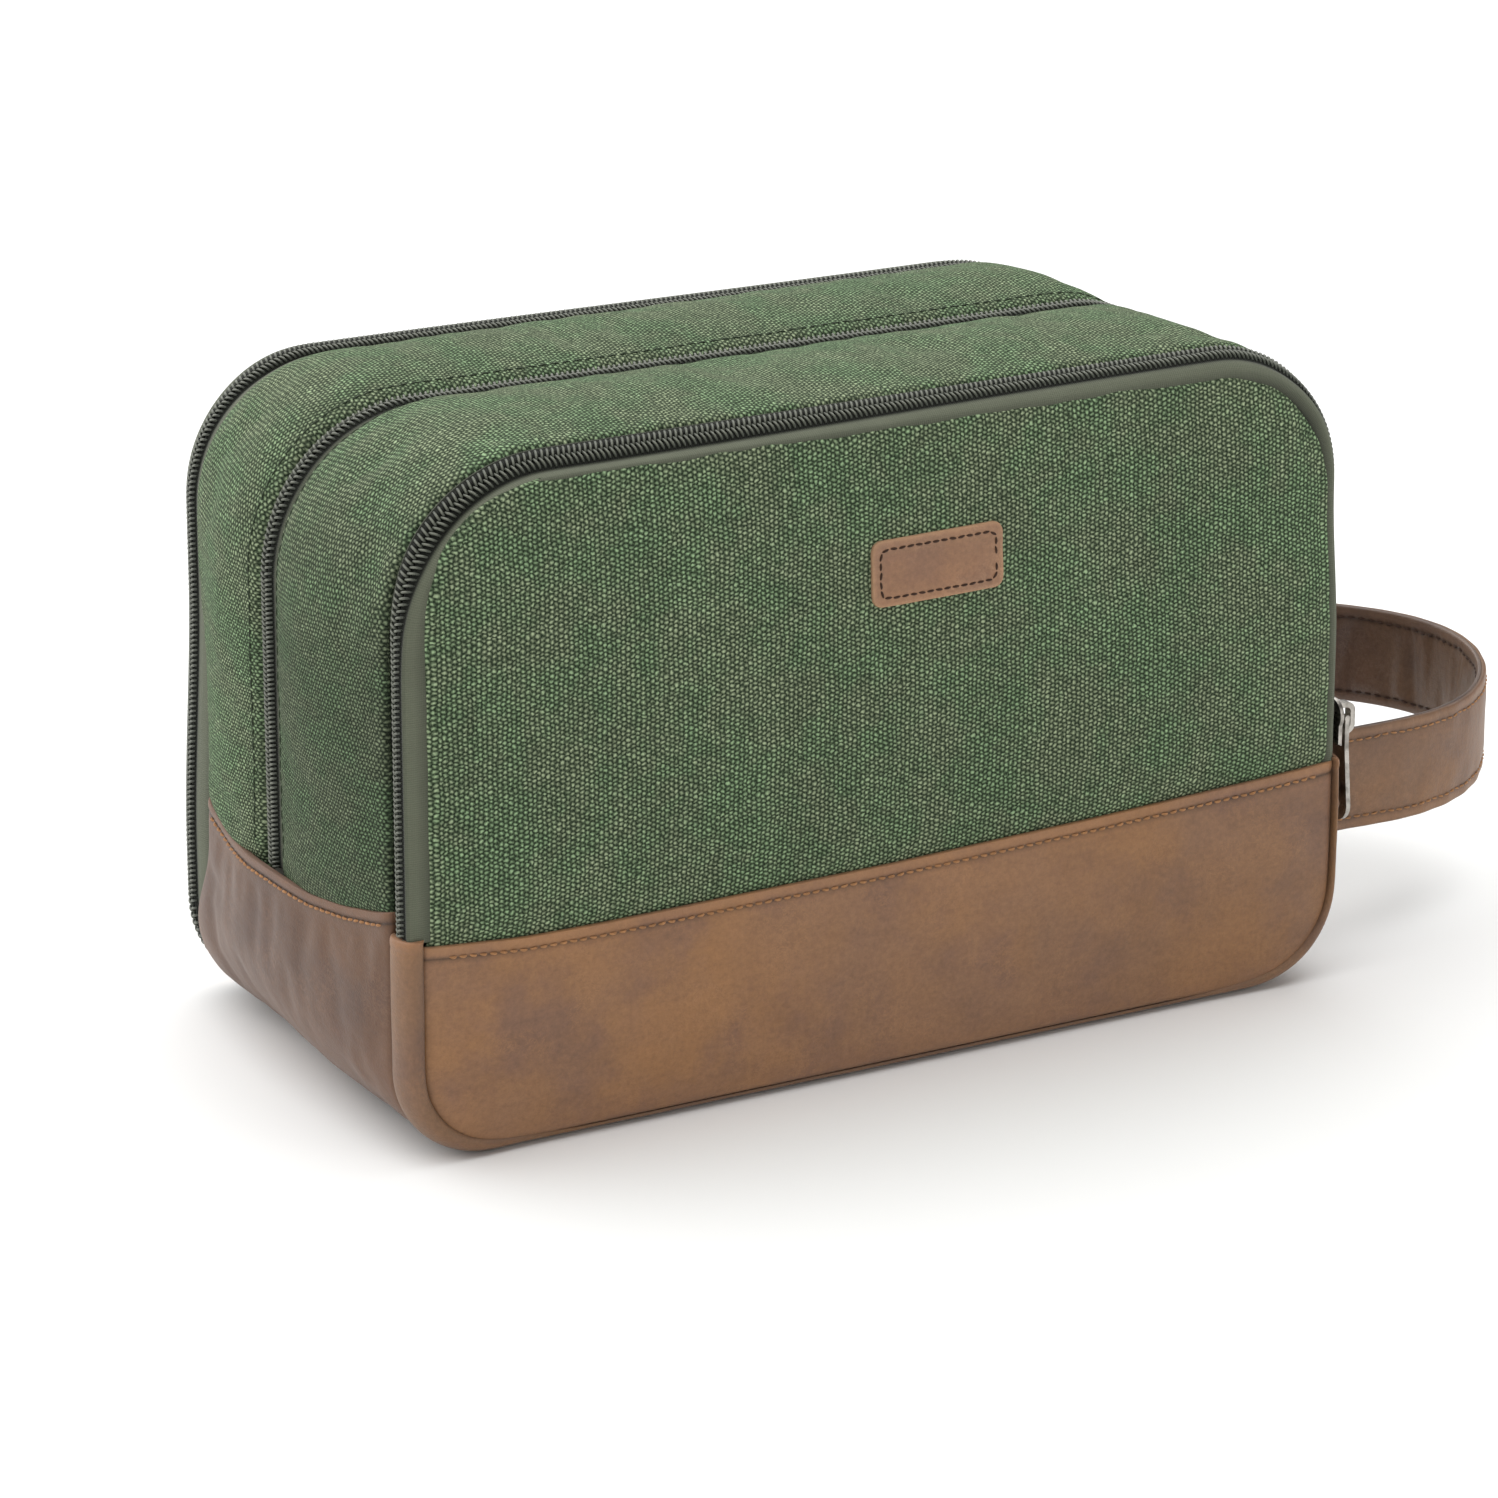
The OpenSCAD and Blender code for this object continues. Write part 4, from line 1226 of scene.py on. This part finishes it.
def strap_layer(name, depth_out, depth_in, material):
    """One layer of the strap between two depths, each a function of the walked distance and the height."""
    line, outward, walked = strap_path()
    heights = across(STRAP["width"], 1.6, (0.0, 0.25, 0.7, 1.4, 2.2, 2.9, 3.6)) - STRAP["width"] / 2
    u, v = np.meshgrid(walked, heights, indexing="ij")
    height = v + strap_wave(u, v)

    def layer(depth):
        d = depth(u, v)
        x = line[:, None, 0] - outward[:, None, 0] * d
        y = line[:, None, 1] - outward[:, None, 1] * d
        return np.stack([x, y, STRAP["z"] + height - strap_sag(y)], -1)

    edge = strap_edge(v)
    # Paler just inside the long edges, painted shade in the stitch grooves, and darker along the very edge
    mark = 0.5 * bell(edge - 1.2, 0.8) - 0.9 * bell(edge - STITCH_DROP, 0.45) - 0.5 * decay(edge, 0.3)
    piece = shell(name, layer(depth_out), layer(depth_in), u, v, mark, material)
    return subdivide(piece, 1)


def strap_outer_depth(u, v):
    edge = strap_edge(v)
    groove = 0.22 * bell(edge - STITCH_DROP, 0.5)
    puff = 0.32 * smooth((edge - 3.2) / 4) - 0.9 * smooth((edge - 2.5) / 9) * smooth((u - 60) / 60)
    return 0.35 + 0.45 * decay(edge, 0.35) + groove - puff + 0.12 * wander(u, v, 12, 92, stretch=0.5)


def strap_middle_depth(u, v):
    return 1.5 + 0 * u


def strap_inner_depth(u, v):
    edge = strap_edge(v)
    bent = smooth((u - 20) / 30) * smooth((u.max() - 20 - u) / 30)
    crease = wander(v, u, 8.0, 93, stretch=4.5) * 0.8 * bent * smooth((edge - 1.2) / 5)
    groove = 0.18 * bell(edge - STITCH_DROP, 0.5)
    return 2.75 - 0.45 * decay(edge, 0.35) - groove + crease + 0.2 * smooth(edge / 6)


strap = strap_layer("wrist_strap", strap_outer_depth, strap_middle_depth, STRAP_LEATHER)
attach(strap, "strap root", "handle_strap")
strap_inside = strap_layer("wrist_strap_lining", strap_middle_depth, strap_inner_depth, STRAP_INNER)
attach(strap_inside, "strap root", "handle_strap_lining")

strap_line, strap_out, strap_walked = strap_path()
for side, layer_piece, offset, thread in (("outer", strap, 0.6, TAN_THREAD),
                                          ("inner", strap_inside, -3.6, DARK_THREAD)):
    tree = surface_tree(layer_piece)
    flat = strap_line + strap_out * offset
    for edge_name, sign in (("top", 1), ("low", -1)):
        wave = strap_wave(strap_walked, sign * 9.6 + 0 * strap_walked)
        height = STRAP["z"] + sign * (STRAP["width"] / 2 - STITCH_DROP) + wave - strap_sag(flat[:, 1])
        row = np.stack([flat[:, 0], flat[:, 1], height], 1)[6:-6]
        attach(stitches(f"strap_{side}_{edge_name}_stitches", row, tree, 2.6, 1.95, 0.27, thread, "leather",
                        seed=7), "strap root")


# ---- metal parts and board, as the CAD has them

def dress(part, material):
    part.data.materials.clear()
    part.data.materials.append(material)


for node in ("front_slider", "mid_slider", "rear_slider", "front_pull", "mid_pull", "rear_pull"):
    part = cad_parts[node]
    dress(part, METAL)
    weld = part.modifiers.new("weld", "WELD")
    weld.merge_threshold = 0.00001
    bevel = part.modifiers.new("bevel", "BEVEL")
    bevel.width = 0.00025
    bevel.segments = 3
    bevel.limit_method = "ANGLE"
    bevel.angle_limit = math.radians(35)
    bevel.harden_normals = False

dress(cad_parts["base_board"], BOARD)


# ---- inside of the bag

def wall_lining(name, y_front, y_rear, s_range, inset, thick, material, slot, seed, sag):
    """Cloth on the inside of the side walls, with a slight wave. s may run below 0, across the base."""
    rows = np.linspace(*s_range, max(8, int(abs(s_range[1] - s_range[0]) / 5)))
    columns = np.linspace(0, 1, max(4, int((y_rear - y_front) / 5)))
    s, t = np.meshgrid(rows, columns, indexing="ij")
    y = mix(y_front, y_rear, t)
    depth = inset + sag * (0.5 + 0.5 * wander(s, y, 28, seed)) * np.sin(math.pi * t)
    outer, _ = place(s, y, depth)
    inner, _ = place(s, y, depth + thick)
    return subdivide(shell(name, outer, inner, s, y, 0.0, material), 1)


def flat_cloth(name, p, y, z_low, z_high, thick, material, seed, step=6.0):
    """Flat cloth across the bag, cut to an outline, with a slight wave."""
    radius = max(p["tl"], p["tr"])
    if z_high > p["high"] - radius:
        heights = np.concatenate([np.arange(z_low, p["high"] - radius, step), arc_heights(p, radius)])
        heights = heights[heights < z_high - 0.2]
        heights = np.append(heights, min(z_high, p["high"]))
    else:
        heights = np.linspace(z_low, z_high, max(3, int((z_high - z_low) / step)))
    if z_low < p["low"] + max(p["bl"], p["br"]):
        low = p["low"] + np.array([0, 0.6, 1.6, 3.2, 5.6, 9.0, 13])
        heights = np.concatenate([low, heights[heights > low[-1] + 1.5]])
    x, z = panel_grid(p, heights, step)
    d = edge_distance(p, x, z)
    ripple = 0.25 * wander(x, z, 40, seed) * smooth(d / 12)
    outer = np.stack([x, y + ripple, z], -1)
    inner = np.stack([x, y + ripple + thick, z], -1)
    return subdivide(shell(name, outer, inner, x, z, 0.0, material), 1)


def inset_outline(amount):
    """The bag's outline drawn in by an amount, halfway between the front's and the rear's."""
    o = {k: (FRONT_OUTLINE[k] + REAR_OUTLINE[k]) / 2 for k in FRONT_OUTLINE}
    corner = {k: max(o[k] - amount, 3.0) for k in CORNERS}
    return dict(left=o["left"] + amount, right=o["right"] - amount, low=amount,
                high=o["high"] - amount, **corner)


def sheet_of_face(p, z_low, z_high):
    """Gathers the round corners of an outline that cloth from z_low to z_high reaches, and does nothing with
    them.
    """
    corners = [p[k] for k in ("tl", "tr") if z_high > p["high"] - p[k]]
    corners += [p[k] for k in ("bl", "br") if z_low < p["low"] + p[k]]


UPPER = (float(side_s(-1, 48.0, 0.0)), float(side_s(1, 48.0, 0.0)))
LOWER = (float(side_s(-1, 52.0, 0.0)), float(side_s(1, 52.0, 0.0)) - ROUND)

# Cloth on the walls: its y range, run, inset, thickness, material, slot, seed and sag, then its body, its
# CAD node and, where it is a sheet, its flat width
for name, *shape, body, node, width in (
        ("front_gusset_inside", -53.5, -4.5, UPPER, 3.6, 0.5, LINING, "lining", 101, 0.25,
         "section fold", "front_gusset_lining", 49.0),
        ("rear_gusset_inside", 8.0, 51.0, UPPER, 3.6, 0.5, LINING, "lining", 102, 0.25,
         "bag_base", "rear_gusset_lining", 43.0),
        ("base_inside", -62.8, 51.0, LOWER, 3.55, 0.5, LINING, "lining", 103, 0.1,
         "bag_base", "base_lining", 113.8),
        ("front_zip_binding", -55.9, -54.2, UPPER, 3.5, 1.5, BINDING, "binding", 104, 0.0,
         "front_section", "front_seam_binding", None),
        ("rear_zip_binding", 51.0, 52.6, UPPER, 3.5, 1.5, BINDING, "binding", 105, 0.0,
         "bag_base", "rear_seam_binding", None)):
    piece = wall_lining(name, *shape)
    attach(piece, body, node)

# Flat cloth: inset of its outline, y, lowest and highest z, thickness, seed, body and CAD nodes
for name, inset, y, z_low, z_high, thick, seed, body, *nodes in (
        ("front_panel_inside", 5.2, -62.0, SEAM_Z - 1.6, 154.5, 0.55, 106, "flap fold", "front_panel_lining"),
        ("front_leather_inside", 3.6, -62.8, 3.6, SEAM_Z - 2.2, 0.55, 107, "bag_base", "front_lower_lining"),
        ("rear_panel_inside", 5.2, 61.4, 5.2, 154.5, 0.55, 108, "rear_flap", "rear_panel_lining"),
        ("front_divider_cloth", 4.7, -30.6, 4.7, 155.0, 1.2, 109, "divider fold",
         "front_divider", "front_divider_lower"),
        ("rear_divider_cloth", 4.7, 30.4, 4.7, 155.0, 1.2, 110, "bag_base", "rear_divider")):
    outline = inset_outline(inset)
    piece = flat_cloth(name, outline, y, z_low, z_high, thick, LINING, seed)
    attach(piece, body, *nodes)
    sheet_of_face(outline, z_low, z_high)

band_outline = inset_outline(7.5)
elastic = flat_cloth("rear_elastic", band_outline, 31.7, 84.0, 109.0, 0.9, ELASTIC, 111, step=4.0)
attach(elastic, "bag_base", "rear_elastic_band")
sheet_of_face(band_outline, 84.0, 109.0)


def hinge_strip():
    """Leather that joins the base to the foot of the rear panel, rounded off at both ends."""
    section = np.array([(50.5, 0.1), (55.0, 0.0), (59.0, 0.2), (61.6, 0.8), (63.4, 1.9), (64.3, 3.3),
                        (64.4, 5.2)])
    half = 98.0
    x, k = np.meshgrid(across(2 * half, 6.0) - half, np.arange(len(section)), indexing="ij")
    end = 1 - smooth((half - np.abs(x)) / 9)
    y = section[k, 0] - end * 0.30 * (section[k, 0] - 50.5)
    z = section[k, 1] + end * (1.4 - 0.22 * section[k, 1])
    outer = np.stack([x, y, z + 0.15], -1)
    inner = np.stack([x, np.minimum(y, 63.2) - 0.2, np.maximum(z + 0.2, 1.6)], -1)
    return subdivide(shell("rear_hinge_leather", outer, inner, x, k * 2.5, -0.2, LEATHER), 1)


attach(hinge_strip(), "bag_base", "rear_hinge_strip")


def mesh_pocket():
    """Pocket of open mesh on the front of the front divider: threads round open cells."""
    p = inset_outline(8.0)
    cell = 3.0
    z, x = np.meshgrid(np.arange(55.5, 111.6, cell), np.arange(p["left"], p["right"], cell),
                       indexing="ij")
    n, m = x.shape
    shift = np.where(np.arange(n) % 2 == 0, 0.0, cell / 2)[:, None]
    points = np.stack([x + shift, -31.6 + 0.25 * wander(x, z, 30, 112), z], -1)
    index = np.arange(n * m).reshape(n, m)
    level = np.zeros(n * m)
    surface = np.stack([x.ravel(), z.ravel(), level], -1)
    points = settle(points.reshape(-1, 3))
    piece = new_piece("front_mesh", points, quads(index).tolist(), surface, level, MESH)
    wires = piece.modifiers.new("threads", "WIREFRAME")
    wires.thickness = 0.0007
    wires.use_even_offset = False
    return piece


net = mesh_pocket()
attach(net, "divider fold", "front_mesh_pocket")


# ---- floor, light and camera

def make_floor():
    size = 3.0
    mesh = bpy.data.meshes.new("floor")
    corners = [(-size, -size, 0), (size, -size, 0), (size, size, 0), (-size, size, 0)]
    mesh.from_pydata(corners, [], [(0, 1, 2, 3)])
    floor = bpy.data.objects.new("floor", mesh)
    bpy.context.scene.collection.objects.link(floor)
    g = Graph("pale_floor")
    g.set(Base_Color=colour(244, 244, 243), Roughness=0.9, Specular_IOR_Level=0.1)
    mesh.materials.append(g.material)


def add_light(name, kind, location, aim, **settings):
    data = bpy.data.lights.new(name, kind)
    for key, value in settings.items():
        setattr(data, key, value)
    lamp = bpy.data.objects.new(name, data)
    lamp.location = location
    lamp.rotation_euler = aim
    bpy.context.scene.collection.objects.link(lamp)


make_floor()
world = bpy.data.worlds.new("studio")
world.use_nodes = True
background = world.node_tree.nodes["Background"]
background.inputs["Color"].default_value = (1.0, 1.0, 1.0, 1.0)
background.inputs["Strength"].default_value = 0.28
bpy.context.scene.world = world
OVERHEAD = Vector((-0.20, 0.44, 0.88))
FILL = Vector((0.75, -1.6, 0.7))
# Soft light as from a large sheet above the table, and a weak one from the front
add_light("overhead", "SUN", OVERHEAD, OVERHEAD.to_track_quat("Z", "Y").to_euler(),
          angle=math.radians(110), energy=4.1)
add_light("fill", "AREA", FILL, (Vector((0, 0, 0.08)) - FILL).to_track_quat("-Z", "Y").to_euler(),
          shape="DISK", size=1.2, energy=6.4, color=(1.0, 0.99, 0.98))

# Lens, place and direction were fitted to the photo
camera_data = bpy.data.cameras.new("camera")
camera_data.lens = 141.34
camera_data.sensor_width = 36.0
camera_data.clip_start = 0.05
camera_data.clip_end = 20.0
camera = bpy.data.objects.new("camera", camera_data)
camera.location = (-0.66043, -1.14982, 0.49931)
camera.rotation_mode = "QUATERNION"
camera.rotation_quaternion = Vector((0.47232, 0.82337, -0.31462)).to_track_quat("-Z", "Y")
bpy.context.scene.collection.objects.link(camera)
bpy.context.scene.camera = camera
bpy.context.scene.view_settings.view_transform = "Standard"
